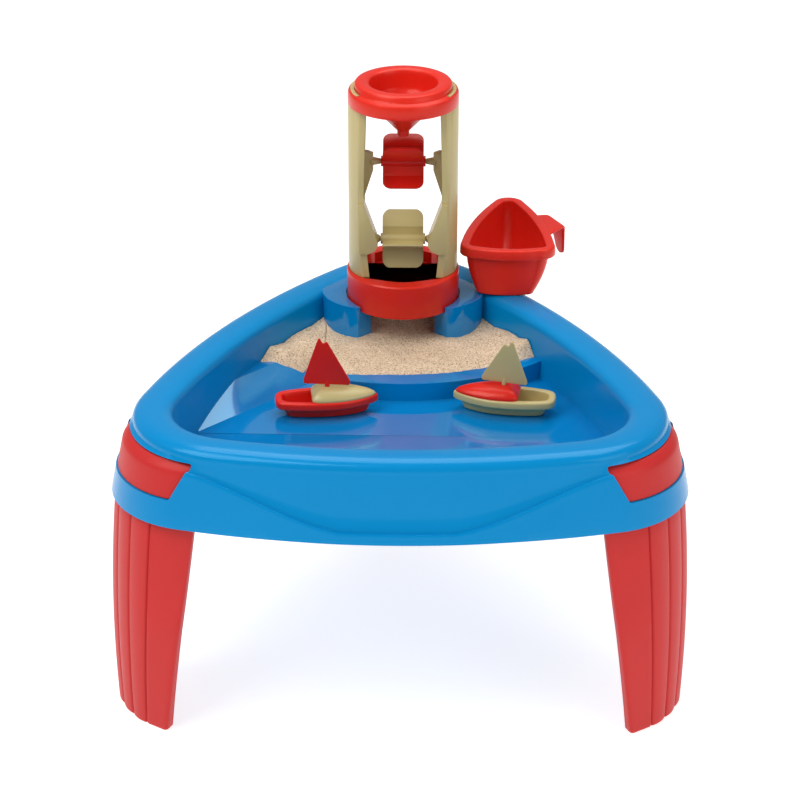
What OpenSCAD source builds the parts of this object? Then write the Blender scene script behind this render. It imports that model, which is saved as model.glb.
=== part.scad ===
// Sand and water play table with a two-wheel sand tower, a bucket and two sailboats.
// Millimetres. +Z is up, the front of the table looks along -Y, the feet stand on z = 0.

/* [Table] */
// Height of the table's rim
rim_z = 384; // [340:1:430]
// Distance from the middle of the table to each corner's centre
corner_c = 268; // [230:1:320]
// Radius of the apron's nominal line at the corners
corner_r = 93; // [80:1:115]
// Distance of the rim's rounder corner centres from the middle
rim_corner_c = 225; // [215:1:265]
// Radius of the gentle bow of each side
side_bow_r = 975; // [850:5:2500]
// Height of the rim and apron together
apron_h = 98; // [88:1:120]
// How far the apron's lower edge stands out from the rim
apron_flare = 25.5; // [20:0.5:32]
// Width of the rolled rim
rim_w = 43; // [36:1:50]
// Wall thickness of the tray
tray_t = 3.5; // [2.5:0.1:4.5]

/* [Basin] */
// Depth of the water basin below the rim
basin_depth = 72; // [60:1:80]
// Depth of the sand deck below the rim
deck_depth = 48; // [40:1:54]
// Radius of the curved ledge between sand and water
ledge_r = 265; // [235:5:320]
// Distance of the ledge's foremost point behind the middle
ledge_y = 45; // [30:1:60]
// Left end of the ledge, where the ramp begins
ramp_x = -100; // [-120:1:-80]
// Distance of the ramp's foot line from the middle
ramp_foot = 151; // [140:1:160]
// Direction in which the ramp climbs, in degrees
ramp_turn = 136; // [130:1:142]
// Length of the ramp
ramp_run = 40; // [30:1:50]

/* [Legs] */
// Greatest radius of a leg's rounded nose
nose_r = 123.5; // [115:0.5:132]
// Wall thickness of a leg
leg_t = 3.5; // [2.5:0.1:4.5]
// Half angle that a leg spans at its top, in degrees
leg_top_half = 54.5; // [50:0.5:58]
// Half angle that a leg spans at its foot, in degrees
leg_foot_half = 34.4; // [30:0.2:40]
// Height of the leg's head window
window_h = 46; // [40:1:48]

/* [Tower] */
// Distance of the tower's axis behind the middle
tower_y = 227.4; // [222:0.2:234]
// Radius of the tower's base drum
base_r = 73.5; // [70:0.5:75]
// Height of the base drum
base_h = 45; // [40:1:52]
// Height of the posts above the base drum
post_h = 228; // [215:1:250]
// Radius of the posts' curved outside
post_r = 51; // [49:0.5:52]
// Thickness of the posts
post_t = 5; // [4:0.2:6]
// Height of the cap's flange
flange_h = 18; // [15:1:22]
// Radius of the cap's bowl at its mouth
bowl_r = 44; // [40:0.5:47]
// Bore radius of the funnel's spout
spout_r = 5.6; // [4.5:0.1:6.5]

/* [Sand wheels] */
// Radius of the wheels over their blades
wheel_r = 39; // [35:0.5:41]
// Length of the blades along the axle
wheel_w = 53; // [46:1:54]
// Height of the upper wheel's axle over the base drum's top
upper_wheel_h = 139.5; // [135:0.5:145]
// Height of the lower wheel's axle over the base drum's top
lower_wheel_h = 45.9; // [43:0.1:50]
// Distance of each axle from the tower's middle plane
wheel_shift = 18; // [14:0.5:20]
// Radius of the pins that carry the wheels
pin_r = 3; // [2.4:0.1:3.6]
// Radial running clearance of a pin in its hub
pin_fit = 0.08; // [0.04:0.01:0.1]

/* [Bucket] */
// Height of the bucket
bucket_h = 66.5; // [55:0.5:80]
// Wall thickness of the bucket
bucket_t = 2.5; // [2:0.1:3.2]
// Width of the bucket's flat rim
bucket_rim_w = 13; // [9:0.5:14]

/* [Boats] */
// Length of a boat
boat_l = 130; // [110:1:140]
// Width of a boat
boat_w = 52; // [44:1:54]
// Height of a boat's hull
hull_h = 24; // [20:1:28]
// Height of the deck's crown over the hull
crown_h = 13; // [9:0.5:15]
// Height of the red sail
red_sail_h = 66; // [50:1:80]
// Height of the beige sail
beige_sail_h = 60; // [50:1:80]
// Thickness of a sail
sail_t = 2.6; // [2:0.1:3.5]

/* [Hidden] */
$fn = 96;

// Fits and gaps
seat_gap = 0.3;
part_gap = 0.8;
over = 30;

// Plan of the table: three equal corners joined by gently bowed sides
corner_turns = [-150, -30, 90];
side_half = asin(corner_c * sin(60) / (side_bow_r - corner_r));
corner_half = 60 - side_half;
bow_back = sqrt(pow(side_bow_r - corner_r, 2) - pow(corner_c * sin(60), 2)) - corner_c / 2;
side_d = side_bow_r - bow_back;

// The rim has rounder corners than the apron below it, within the same sides
centre_gap = corner_c - rim_corner_c;
rim_side_c = sqrt(pow(rim_corner_c, 2) + pow(bow_back, 2) + rim_corner_c * bow_back);
rim_corner_r = side_bow_r - rim_side_c;
rim_side_half = asin(rim_corner_c * sin(60) / rim_side_c);
rim_corner_half = 60 - rim_side_half;
table_y = (side_d + apron_flare - corner_c - nose_r) / 2;

// Heights
apron_z = rim_z - apron_h;
basin_z = rim_z - basin_depth;
deck_z = rim_z - deck_depth;

// Rim and apron, as distances out from the rim's nominal line
rim_drop = 14;
roll_in = 4;
roll_top_share = 0.5;
lip_off = 6;
band_off = 8.5;
wall_lean = 4;
wave_low = 13;
wave_rise = 59;
wave_flat_share = 0.27;
wave_end = 250;
wave_bevel = 3;

// Corner windows for the heads of the legs
window_z = rim_z - 18 - window_h;
window_low_w = 141;
window_high_w = 161;

// Tower socket
socket_gap = 1.7;
socket_r = base_r + socket_gap;
socket_lobe_r = 61.5;
socket_lobe_x = 45;
socket_back = 6;
socket_top_drop = 1;
ledge_drop = 8.8;
pit_r = 57;
mouth_half = 47;

tower_z = rim_z - ledge_drop + seat_gap;
base_top = tower_z + base_h;
post_top = base_top + post_h;

// Radius of the leg's nose at a height
nose_drop = 10;
belly_z = 90;
function nose_at(z) = nose_r - nose_drop * pow((z - belly_z) / (apron_z - belly_z), 2);

// Offset of the apron's lower band at a height
function band_at(z) = band_off
    + (apron_flare - band_off) * (rim_z - rim_drop - z) / (apron_h - rim_drop);

// Offset of the apron's upper band at a height
upper_foot_off = 20.5;
function upper_at(z) = lip_off
    + (upper_foot_off - lip_off) * (rim_z - rim_drop - z) / (apron_h - rim_drop);

// Height of the wave at a distance along a side
function clip(v) = min(max(v, 0), 1);
function ease(u) = 0.5 * u + 0.5 * u * u * (3 - 2 * u);
function wave_at(s) = apron_z + wave_low
    + wave_rise * ease(clip((abs(s) / wave_end - wave_flat_share) / (1 - wave_flat_share)));

// A solid through rings of points, each seen counter-clockwise from the last ring's side. A
// ring that bends back on itself, as a channel's does, has its ends closed in strips.
module loft(rings, channel = false) {
    n = len(rings[0]);
    m = len(rings);
    far_end = (m - 1) * n;
    points = [for (ring = rings) each ring];
    sides = [for (i = [0:m - 2], j = [0:n - 1]) each
        [[i * n + j, (i + 1) * n + j, (i + 1) * n + (j + 1) % n],
         [i * n + j, (i + 1) * n + (j + 1) % n, i * n + (j + 1) % n]]];
    strips = channel ? [for (i = [0:n / 2 - 2]) each
        [[i, i + 1, n - 2 - i], [i, n - 2 - i, n - 1 - i]]] : [[for (j = [0:n - 1]) j]];
    caps = concat(strips, [for (face = strips) [for (k = [len(face) - 1:-1:0]) far_end + face[k]]]);
    polyhedron(points, concat(sides, caps), convexity = 10);
}

// A piece of a ring between two radii, two heights and two angles
module ring_piece(low_r, high_r, low_z, high_z, turn, half) {
    rotate(turn - half) rotate_extrude(angle = 2 * half)
        polygon([[low_r, low_z], [high_r, low_z], [high_r, high_z], [low_r, high_z]]);
}

// A prism seen from the front, from y = 0 back to a depth
module front_prism(points, depth) {
    translate([0, depth]) rotate([90, 0, 0]) linear_extrude(depth) polygon(points);
}

// A prism seen from the right side, centred on x = 0
module side_prism(points, width) {
    rotate([90, 0, 90]) translate([0, 0, -width / 2]) linear_extrude(width) polygon(points);
}

// Places children in the frame of a corner: origin at its arc's centre, +X outwards
module at_corner(turn) {
    translate([0, table_y]) rotate(turn) translate([corner_c, 0]) children();
}

module at_tower() {
    translate([0, table_y + tower_y]) children();
}

// Outline of the plan at an offset from the rim's nominal line, as points
plan_steps = 8;
function arc(centre, r, from, to) = [for (k = [0:plan_steps])
    centre + r * [cos(from + (to - from) * k / plan_steps), sin(from + (to - from) * k / plan_steps)]];
side_trim_share = 0.85;
function plan(off) = [for (turn = corner_turns) each concat(
    arc(rim_corner_c * [cos(turn), sin(turn)], rim_corner_r + off,
        turn - rim_corner_half, turn + rim_corner_half),
    arc(-bow_back * [cos(turn + 60), sin(turn + 60)], side_bow_r + off,
        turn + 60 - rim_side_half * side_trim_share, turn + 60 + rim_side_half * side_trim_share))];

// The rim's section, x outwards from the rim's nominal line, down to the apron's lower edge
rim_wall_shares = [[0.25, 2], [1, 1], [2.5, 0.3]];
rim_lip_shares = [[-2.5, 0.3], [-0.6, 0.8]];
basin_under = basin_z - tray_t;
function skin_section(outside, inside) = concat(
    [[-rim_w - wall_lean, basin_under], [-rim_w, rim_z - rim_drop]],
    [for (q = rim_wall_shares) [-rim_w + roll_in * q[0], rim_z - roll_in * q[1]]],
    [[-rim_w * roll_top_share, rim_z]],
    [for (q = rim_lip_shares) [roll_in * q[0], rim_z - roll_in * q[1]]],
    [[lip_off, rim_z - rim_drop]],
    outside,
    inside,
    [[lip_off - tray_t, rim_z - rim_drop], [-roll_in, rim_z - tray_t - roll_in],
     [-rim_w * roll_top_share, rim_z - tray_t], [-rim_w + 2 * roll_in, rim_z - tray_t - roll_in],
     [-rim_w + tray_t, rim_z - rim_drop], [-rim_w - wall_lean + tray_t, basin_under]]);

// The apron below the rim, at an angle of a rim corner: out along the rim's normal to the apron's
// own corner arc, or to its side where the normal passes the arc's end
function on_arc(a, off) = centre_gap * cos(a)
    + sqrt(pow(corner_r + off, 2) - pow(centre_gap * sin(a), 2));
function arc_angle(a, off) = atan2(on_arc(a, off) * sin(abs(a)), on_arc(a, off) * cos(a) - centre_gap);
function on_side(a, off) = let (d = rim_corner_half - abs(a))
    sqrt(pow(side_bow_r + off, 2) - pow(rim_side_c * sin(d), 2)) - rim_side_c * cos(d);
function apron_out(a, off) = (arc_angle(a, off) <= corner_half ? on_arc(a, off) : on_side(a, off))
    - rim_corner_r;
function side_run(a) = side_bow_r * sin(rim_side_half
    + asin(on_side(a, 0) * sin(rim_corner_half - abs(a)) / side_bow_r));

// The proud band's top follows the wave along the sides and stays high round the corners
wave_top = apron_z + wave_low + wave_rise;
function apron_offs(wave_z) = [upper_at(wave_z), band_at(wave_z), apron_flare,
    apron_flare - tray_t, upper_at(wave_z) - tray_t];
function skin_at(wave_z, offs) = skin_section(
    [[offs[0], wave_z], [offs[1], wave_z - wave_bevel], [offs[2], apron_z]],
    [[offs[3], apron_z], [offs[4], wave_z - wave_bevel]]);

// Stations round the table: a point of the rim's nominal line, a direction, a wave height and
// the apron's offsets
corner_steps = 16;
side_steps = 16;
function corner_wave(a) = arc_angle(a, 0) <= corner_half ? wave_top : wave_at(side_run(a));
function corner_station(turn, a) = [rim_corner_c * [cos(turn), sin(turn)]
    + rim_corner_r * [cos(turn + a), sin(turn + a)], turn + a, corner_wave(a),
    [for (off = apron_offs(corner_wave(a))) apron_out(a, off)]];
function side_station(turn, a) = let (wave_z = wave_at(side_bow_r * sin(a)))
    [-bow_back * [cos(turn), sin(turn)] + side_bow_r * [cos(turn + a), sin(turn + a)],
        turn + a, wave_z, apron_offs(wave_z)];
stations = [for (turn = corner_turns) each concat(
    [for (k = [0:corner_steps - 1])
        corner_station(turn, rim_corner_half * (2 * k / corner_steps - 1))],
    [for (k = [0:side_steps - 1])
        side_station(turn + 60, rim_side_half * (2 * k / side_steps - 1))])];

module skin() {
    rings = [for (s = stations) [for (p = skin_at(s[2], s[3]))
        [s[0][0] + p[0] * cos(s[1]), s[0][1] + p[0] * sin(s[1]), p[1]]]];
    n = len(rings[0]);
    m = len(rings);
    polyhedron([for (ring = rings) each ring],
        [for (i = [0:m - 1], j = [0:n - 1]) let (a = i * n, b = (i + 1) % m * n, k = (j + 1) % n) each
            [[a + j, b + j, b + k], [a + j, b + k, a + k]]], convexity = 10);
}

// A leg window in the apron, in a corner's frame
window_slant_share = 0.85;
module window_prism(inset, from, depth) {
    low = window_low_w / 2 - inset;
    high = window_high_w / 2 - inset;
    mid = window_z + window_h * window_slant_share;
    top = window_z + window_h - inset;
    translate([from, 0]) rotate([90, 0, 90]) linear_extrude(depth)
        polygon([[-low, window_z + inset], [low, window_z + inset], [high, mid], [high, top],
            [-high, top], [-high, mid]]);
}

// Regions of the basin, in the plan of the table's middle
plate_edge_share = 0.33;
basin_off = -rim_w - wall_lean * plate_edge_share;
far = 2 * corner_c;

module basin_2d() {
    polygon(plan(basin_off));
}

module ledge_disc(inset) {
    intersection() {
        translate([0, ledge_y + ledge_r]) circle(ledge_r - inset, $fn = 240);
        translate([ramp_x + inset, -far]) square([2 * far, 2 * far]);
    }
}

// The half plane uphill of a distance along the ramp's direction
module uphill_2d(run) {
    rotate(ramp_turn) translate([ramp_foot + run, -far]) square([far, 2 * far]);
}

module deck_2d(inset = 0) {
    ledge_disc(inset);
    uphill_2d(ramp_run + inset);
}

module floor_plates() {
    translate([0, table_y, basin_under]) linear_extrude(tray_t) difference() {
        basin_2d();
        deck_2d(tray_t);
        uphill_2d(tray_t);
    }
    translate([0, table_y, deck_z - tray_t]) linear_extrude(tray_t) intersection() {
        basin_2d();
        deck_2d();
    }
}

// The ledge and the deck's left side are walls as thick as the plates
module deck_walls() {
    translate([0, table_y, basin_under]) linear_extrude(deck_z - basin_under) difference() {
        intersection() {
            basin_2d();
            ledge_disc(0);
        }
        ledge_disc(tray_t);
        uphill_2d(ramp_run + tray_t);
    }
}

// The ramp is a tilted plate between the basin and the deck
ramp_angle = atan((deck_z - basin_z) / ramp_run);
ramp_plate_l = ramp_run / cos(ramp_angle);
module ramp() {
    intersection() {
        translate([0, table_y, basin_under]) linear_extrude(deck_z - basin_under) difference() {
            basin_2d();
            ledge_disc(0);
        }
        translate([0, table_y, basin_z]) rotate(ramp_turn) translate([ramp_foot, -far])
            rotate([0, -ramp_angle, 0]) translate([-tray_t, 0, -tray_t])
                cube([ramp_plate_l + 2 * tray_t, 2 * far, tray_t]);
    }
}

// Plan of the raised block that holds the tower, in the tower's frame
module socket_2d(inset) {
    for (side = [-1, 1])
        translate([side * socket_lobe_x, socket_back]) circle(socket_lobe_r - inset);
    translate([-socket_lobe_x, socket_back - socket_lobe_r + inset])
        square([2 * socket_lobe_x, socket_lobe_r]);
    translate([-socket_lobe_x - socket_lobe_r + inset, socket_back])
        square([2 * (socket_lobe_x + socket_lobe_r - inset), far]);
}

// The open mouth of the socket, a wedge towards the front
module mouth_2d(inset) {
    shift = inset / sin(mouth_half);
    reach = far * tan(mouth_half);
    translate([0, shift]) polygon([[0, 0], [-reach, -far], [reach, -far]]);
}

module socket_space_2d() {
    intersection() {
        socket_2d(tray_t);
        translate([0, -tower_y]) polygon(plan(basin_off - tray_t));
    }
}

lid_reach = 10;
module tower_socket() {
    top = rim_z - socket_top_drop;
    ledge = tower_z - seat_gap;
    low = deck_z - tray_t;
    at_tower() difference() {
        union() {
            translate([0, 0, low]) linear_extrude(top - low) intersection() {
                socket_2d(0);
                translate([0, -tower_y]) polygon(plan(basin_off + tray_t / 2));
            }
            translate([0, 0, top - tray_t]) linear_extrude(tray_t) intersection() {
                socket_2d(0);
                translate([0, -tower_y]) polygon(plan(basin_off + lid_reach));
            }
        }
        translate([0, 0, low - over]) linear_extrude(top - tray_t - low + over) difference() {
            socket_space_2d();
            circle(socket_r + tray_t);
            mouth_2d(tray_t);
        }
        translate([0, 0, low - over]) linear_extrude(ledge - tray_t - low + over) difference() {
            socket_space_2d();
            circle(pit_r + tray_t);
            mouth_2d(tray_t);
        }
        translate([0, 0, ledge]) cylinder(h = over, r = socket_r);
        translate([0, 0, deck_z]) cylinder(h = over + ledge - deck_z, r = pit_r);
        translate([0, 0, deck_z]) linear_extrude(over + top - deck_z) mouth_2d(0);
    }
}

module tray() {
    color([0, 0.62, 0.84]) {
        difference() {
            translate([0, table_y]) skin();
            for (turn = corner_turns)
                at_corner(turn) window_prism(0, corner_r - rim_w / 2 - lip_l, far);
        }
        floor_plates();
        deck_walls();
        ramp();
        tower_socket();
    }
}

// The leg's outer radius at a height, with its flutes clear of the apron's inside
under_apron = tray_t + 2 * part_gap;
flute_bulge = 1.2;
leg_gap = 1.4;
inside_top = wave_top - wave_bevel;
function apron_inside(z) = apron_flare - tray_t
    - (apron_flare - upper_at(wave_top)) * (z - apron_z) / (inside_top - apron_z);
function leg_r_at(z) = z < apron_z ? nose_at(z)
    : min(nose_at(z), corner_r + apron_inside(z) - flute_bulge - leg_gap);
edge_slope_share = 0.1;
function leg_edge_at(z) = min(leg_r_at(z),
    corner_r + upper_at(max(z, apron_z)) - under_apron + max(apron_z - z, 0) * edge_slope_share);
leg_head_z = window_z + window_h - 2 * part_gap;
shell_top_share = 0.62;
leg_shell_z = window_z + window_h * shell_top_share;
groove_d = 3;
groove_half = 1.3;
lip_l = 14;
foot_round = 4;
foot_in = 2;
edge_bevel = 1.7;
outer_groove_shares = [0.468, 0.552];
leg_level_shares = [0, 0.18, 0.36, 0.54, 0.72, 0.87, 1];
inner_path_steps = 7;

function leg_half_at(z) = leg_foot_half + (leg_top_half - leg_foot_half) * min(z / apron_z, 1);
function outer_groove_at(z) = let (u = min(z / apron_z, 1))
    leg_half_at(z) * (outer_groove_shares[1] + (outer_groove_shares[0] - outer_groove_shares[1]) * u);
function polar(r, a) = [r * cos(a), r * sin(a)];
function groove(r, a) = [polar(r, a - groove_half), polar(r - groove_d, a), polar(r, a + groove_half)];

// Outside of a leg's section: the returned edges, the flat panels and the fluted nose
function leg_outside(z, inset) = let (
    r = leg_r_at(z) - inset,
    e = leg_edge_at(z) - inset,
    half = leg_half_at(z) - inset,
    outer = outer_groove_at(z),
    inner = outer / 3,
    flute = (outer + inner) / 2)
    concat([polar(e - lip_l, -half), polar(e - leg_t, -half), polar(e, -half + edge_bevel)],
        groove(r, -outer), [polar(r + flute_bulge, -flute)],
        groove(r, -inner), [polar(r + flute_bulge, 0)],
        groove(r, inner), [polar(r + flute_bulge, flute)],
        groove(r, outer),
        [polar(e, half - edge_bevel), polar(e - leg_t, half), polar(e - lip_l, half)]);

// Inside of a leg's section, back from the right edge, with as many points as the outside
function leg_inside(z, inset) = let (
    r = leg_r_at(z) - inset - leg_t - groove_d,
    e = leg_edge_at(z) - inset,
    wall = 2 * edge_bevel,
    half = leg_half_at(z) - inset - wall,
    outer = outer_groove_at(z))
    concat([polar(e - lip_l, half), polar(e - 2 * leg_t, half),
            polar(e - 2 * leg_t - edge_bevel / 2, half - edge_bevel)],
        [for (k = [inner_path_steps:-1:-inner_path_steps]) polar(r, outer * k / inner_path_steps)],
        [polar(e - 2 * leg_t - edge_bevel / 2, edge_bevel - half),
            polar(e - 2 * leg_t, -half), polar(e - lip_l, -half)]);

// The foot's plate ends within the thickness of the shell
function foot_plate() = let (
    e = leg_edge_at(0) - foot_in,
    r = e - leg_t - groove_d / 2,
    half = leg_half_at(0) - foot_in - edge_bevel,
    outer = outer_groove_at(0))
    concat([polar(e - lip_l + foot_in, -half), polar(r, -half)],
        [for (k = [-inner_path_steps:inner_path_steps]) polar(r, outer * k / inner_path_steps)],
        [polar(r, half), polar(e - lip_l + foot_in, half)]);

function leg_ring(z, inset) = [for (p = concat(leg_outside(z, inset), leg_inside(z, inset)))
    [p[0], p[1], z]];

leg_levels = concat([for (q = leg_level_shares) foot_round + (apron_z - foot_round) * q],
    [(apron_z + window_z) / 2, window_z, leg_shell_z]);

// The head shows in the window: a block with a bevelled top, a little behind the apron
head_recess = 2;
head_in = 14;
head_bevel = 9;
head_steps = 8;
function head_half_w(z) = let (u = clip((z - window_z) / (window_h * window_slant_share)))
    (window_low_w + (window_high_w - window_low_w) * u) / 2 - part_gap;
function head_ring(z, r) = let (
    inner = corner_r + band_at(leg_head_z) - head_in,
    a = asin(head_half_w(z) / r),
    b = asin(head_half_w(z) / inner))
    concat([for (k = [-head_steps:head_steps]) [each polar(r, a * k / head_steps), z]],
        [for (k = [head_steps:-1:-head_steps]) [each polar(inner, b * k / head_steps), z]]);
module leg_head() {
    low = window_z + part_gap;
    mid = leg_head_z - head_bevel;
    loft([head_ring(low, corner_r + band_at(low) - head_recess),
        head_ring(mid, corner_r + band_at(mid) - head_recess),
        head_ring(leg_head_z, corner_r + head_recess)], channel = true);
}

module leg(turn) {
    color([0.86, 0.23, 0.21]) at_corner(turn) {
        loft(concat([leg_ring(0, foot_in)], [for (z = leg_levels) leg_ring(z, 0)]), channel = true);
        translate([0, 0, seat_gap]) linear_extrude(leg_t) polygon(foot_plate());
        leg_head();
    }
}

module leg_front_left() {
    leg(corner_turns[0]);
}

module leg_front_right() {
    leg(corner_turns[1]);
}

module leg_rear() {
    leg(corner_turns[2]);
}

// Sand: a height field of low hills over the deck, each hill [x, y, height, spread]
sand_hills = [[186, 134, 20, 34], [150, 176, 11, 30], [112, 244, 11, 30], [-108, 246, 11, 34],
    [-182, 116, 9, 34], [-150, 190, 7, 34], [50, 150, 2.5, 30], [-45, 140, 2.5, 34]];
sand_skin = 1.2;
sand_rise = 2;
sand_edge_run = 20;
sand_front = 72;
sand_back = 330;
sand_curl = 0.0019;
sand_xs = [-230, -200, -182, -165, -161, -157, -153.5, -150, -135, -122, -111, -101.4, -100.4, -85,
    -66, -45, -20, 5, 30, 55, 80, 104, 124, 140, 155, 170, 190, 230];
sand_y_shares = [1, 0.85, 0.7, 0.58, 0.47, 0.37, 0.28, 0.2, 0.13, 0.08, 0.04, 0];
sand_tip = [-128, 107];
sand_notch_y = 138;
sand_slump = 34;

function ramp_y(x, run) = (ramp_foot + run - x * cos(ramp_turn)) / sin(ramp_turn);
function on_ramp(x) = x < ramp_x - sand_skin;
function sand_low(x, y) = deck_z + seat_gap - (on_ramp(x)
    ? (deck_z - basin_z) * clip((ramp_y(x, ramp_run) - y) / (ramp_y(x, ramp_run) - ramp_y(x, 0)))
    : 0);
function sand_front_at(x) = x > ramp_x - sand_skin ? sand_front + sand_curl * pow(max(x, 0), 2)
    : x < sand_tip[0] ? sand_tip[1]
    : sand_notch_y + (sand_tip[1] - sand_notch_y) * (ramp_x - x) / (ramp_x - sand_tip[0]);
function sand_top(x, y) = let (
    t = clip((y - sand_front_at(x)) / sand_edge_run),
    slump = ease(clip((x - ramp_x) / sand_slump + 1)))
    sand_low(x, y) + slump * (deck_z + seat_gap - sand_low(x, y)) * t
    + sand_skin + t * sand_rise + ease(t) * max([for (h = sand_hills)
        h[2] * exp(-(pow(x - h[0], 2) + pow(y - h[1], 2)) / (2 * h[3] * h[3]))]);

function sand_ring(x) = let (
    front = sand_front_at(x),
    low_y = max(front, ramp_y(x, 0)) + sand_skin,
    crest_y = max(low_y + sand_skin, ramp_y(x, ramp_run)))
    concat([for (y = [front, low_y, crest_y, sand_back]) [x, y, sand_low(x, y)]],
        [for (q = sand_y_shares) let (y = front + (sand_back - front) * q) [x, y, sand_top(x, y)]]);

module sand_fill() {
    color([0.84, 0.74, 0.6]) translate([0, table_y]) difference() {
        intersection() {
            loft([for (x = sand_xs) sand_ring(x)]);
            linear_extrude(rim_z) polygon(plan(-rim_w - wall_lean - seat_gap));
        }
        translate([0, tower_y]) linear_extrude(rim_z) difference() {
            socket_2d(-seat_gap);
            mouth_2d(-seat_gap);
            circle(pit_r - seat_gap);
        }
    }
}

// Tower base: a drum, open below, with a sieve over its opening and a pocket for each post
base_t = 3.5;
base_round = 2;
base_floor_z = tower_z + 18.5;
post_x = 20;
post_edge_x = 41;
post_foot_w = 82;
post_waist_w = 69;
post_waist_z = [tower_z + 128, tower_z + 168];
post_top_w = 74;
post_pocket_z = tower_z + 22.5;
sieve_w = 75;
sieve_r = 55;
sieve_z = tower_z + 28;
sieve_t = 2.4;
sieve_ledge = 4.5;
sieve_slot = [2.4, 17];
sieve_pitch = [5.2, 20];
sieve_count = [6, 2];

module sieve_2d(inset) {
    intersection() {
        circle(sieve_r - inset);
        square([sieve_w - 2 * inset, far], center = true);
    }
}

// Bent section of a post, on the left side
module post_2d(gap) {
    intersection() {
        translate([-post_x, 0]) difference() {
            circle(post_r + gap);
            circle(post_r - post_t - gap);
        }
        translate([-post_edge_x + gap - far, -post_foot_w / 2 - gap])
            square([far, post_foot_w + 2 * gap]);
    }
}

module tower_base() {
    color([0.9, 0.24, 0.18]) at_tower() difference() {
        rotate_extrude() polygon([[0, base_floor_z], [base_r - base_t, base_floor_z],
            [base_r - base_t, tower_z], [base_r, tower_z], [base_r, base_top - base_round],
            [base_r - base_round, base_top], [0, base_top]]);
        translate([0, 0, sieve_z]) linear_extrude(over) sieve_2d(0);
        translate([0, 0, tower_z]) linear_extrude(base_h) sieve_2d(sieve_ledge);
        for (side = [0, 1]) mirror([side, 0]) translate([0, 0, post_pocket_z])
            linear_extrude(over) post_2d(seat_gap);
    }
}

module sieve_grid() {
    color([0.86, 0.2, 0.16]) at_tower() translate([0, 0, sieve_z + seat_gap])
        linear_extrude(sieve_t) difference() {
            sieve_2d(seat_gap);
            intersection() {
                sieve_2d(sieve_ledge + part_gap);
                for (i = [-sieve_count[0]:sieve_count[0]], j = [-sieve_count[1]:sieve_count[1]])
                    translate([i * sieve_pitch[0], j * sieve_pitch[1]]) square(sieve_slot, center = true);
            }
        }
}

// Brackets of the posts, seen from the front, heights over the drum's top
bracket_d = 8;
bracket_front = 42;
upper_bracket = [[-65, -46], [-50, -46], [-39, -11], [-39, 11], [-46, 14], [-65, 14]];
lower_web = [[-65, 45], [-65, -17.4], [-45.5, -12.9], [-36, -8.4], [-36, 8]];
lower_bracket = [[-57, 55.2], [-57, -12], [-45.5, -12.9], [-36, -8.4], [-32.4, -1.1],
    [-33.7, 6.5], [-46.4, 43], [-51, 55.2]];
hub_half = 29;
hub_gap = 0.6;
pin_l = 4.5;
cone_r = 6;
cone_tip_r = 3.6;
tab_r = [62.9, 67.7];
tab_half = 29;
tab_low = 8.2;
tab_h = 19;

module axle_pin(height, shoulder_x) {
    translate([-shoulder_x, 0, height]) rotate([0, 90])
        cylinder(h = shoulder_x - hub_half - hub_gap, r1 = cone_r, r2 = cone_tip_r);
    translate([-shoulder_x, 0, height]) rotate([0, 90])
        cylinder(h = shoulder_x - hub_half + pin_l, r = pin_r);
}

// The left post; the right one is its mirror image
module post() {
    foot = post_pocket_z + seat_gap;
    intersection() {
        translate([0, 0, foot]) linear_extrude(post_top - seat_gap - foot) post_2d(0);
        side_prism([[-post_foot_w / 2, foot], [post_foot_w / 2, foot],
            [post_waist_w / 2, post_waist_z[0]], [post_waist_w / 2, post_waist_z[1]],
            [post_top_w / 2, post_top], [-post_top_w / 2, post_top],
            [-post_waist_w / 2, post_waist_z[1]], [-post_waist_w / 2, post_waist_z[0]]], far);
    }
    ring_piece(tab_r[0], tab_r[1], post_top - tab_low, post_top + tab_h, 180, tab_half);
    translate([0, wheel_shift - bracket_d / 2, base_top + upper_wheel_h])
        front_prism(upper_bracket, bracket_d);
    translate([0, wheel_shift]) axle_pin(base_top + upper_wheel_h, post_edge_x + hub_gap);
    translate([0, -wheel_shift - bracket_d / 2, base_top + lower_wheel_h])
        front_prism(lower_web, bracket_d);
    translate([0, -bracket_front, base_top + lower_wheel_h])
        front_prism(lower_bracket, bracket_front - wheel_shift + bracket_d / 2);
    translate([0, -wheel_shift]) axle_pin(base_top + lower_wheel_h, hub_half + bracket_d / 2);
}

module post_left() {
    color([0.78, 0.72, 0.52]) at_tower() post();
}

module post_right() {
    color([0.78, 0.72, 0.52]) at_tower() mirror([1, 0]) post();
}

// Cap: a funnel with a thick lip inside a flange that sits on the posts
cap_gap = 0.3;
flange_r = 71;
flange_t = 3;
lip_round = [[70, -1.2], [68, 0.3], [64.2, 1.7], [62.9, 4], [62.3, 7.5], [61, 9.1], [58, 10.1],
    [52, 10.4], [47, 9.7]];
lip_inside = [[46.5, 3.5], [50, 7], [58, 6.9], [59.5, 4.5], [61.5, 0], [68, -3.5]];
bowl_side = [[0.5, 8], [-0.4, 4.5], [-1.5, -6.5], [-3, -15.5], [-8, -22.5], [-25.5, -41.5]];
bowl_t = 2;
spout_drop = 54.5;
spout_l = 9;
tab_slot = [62.6, 68];
tab_slot_half = 30.5;
tab_slot_z = [6.5, 23.5];

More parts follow.
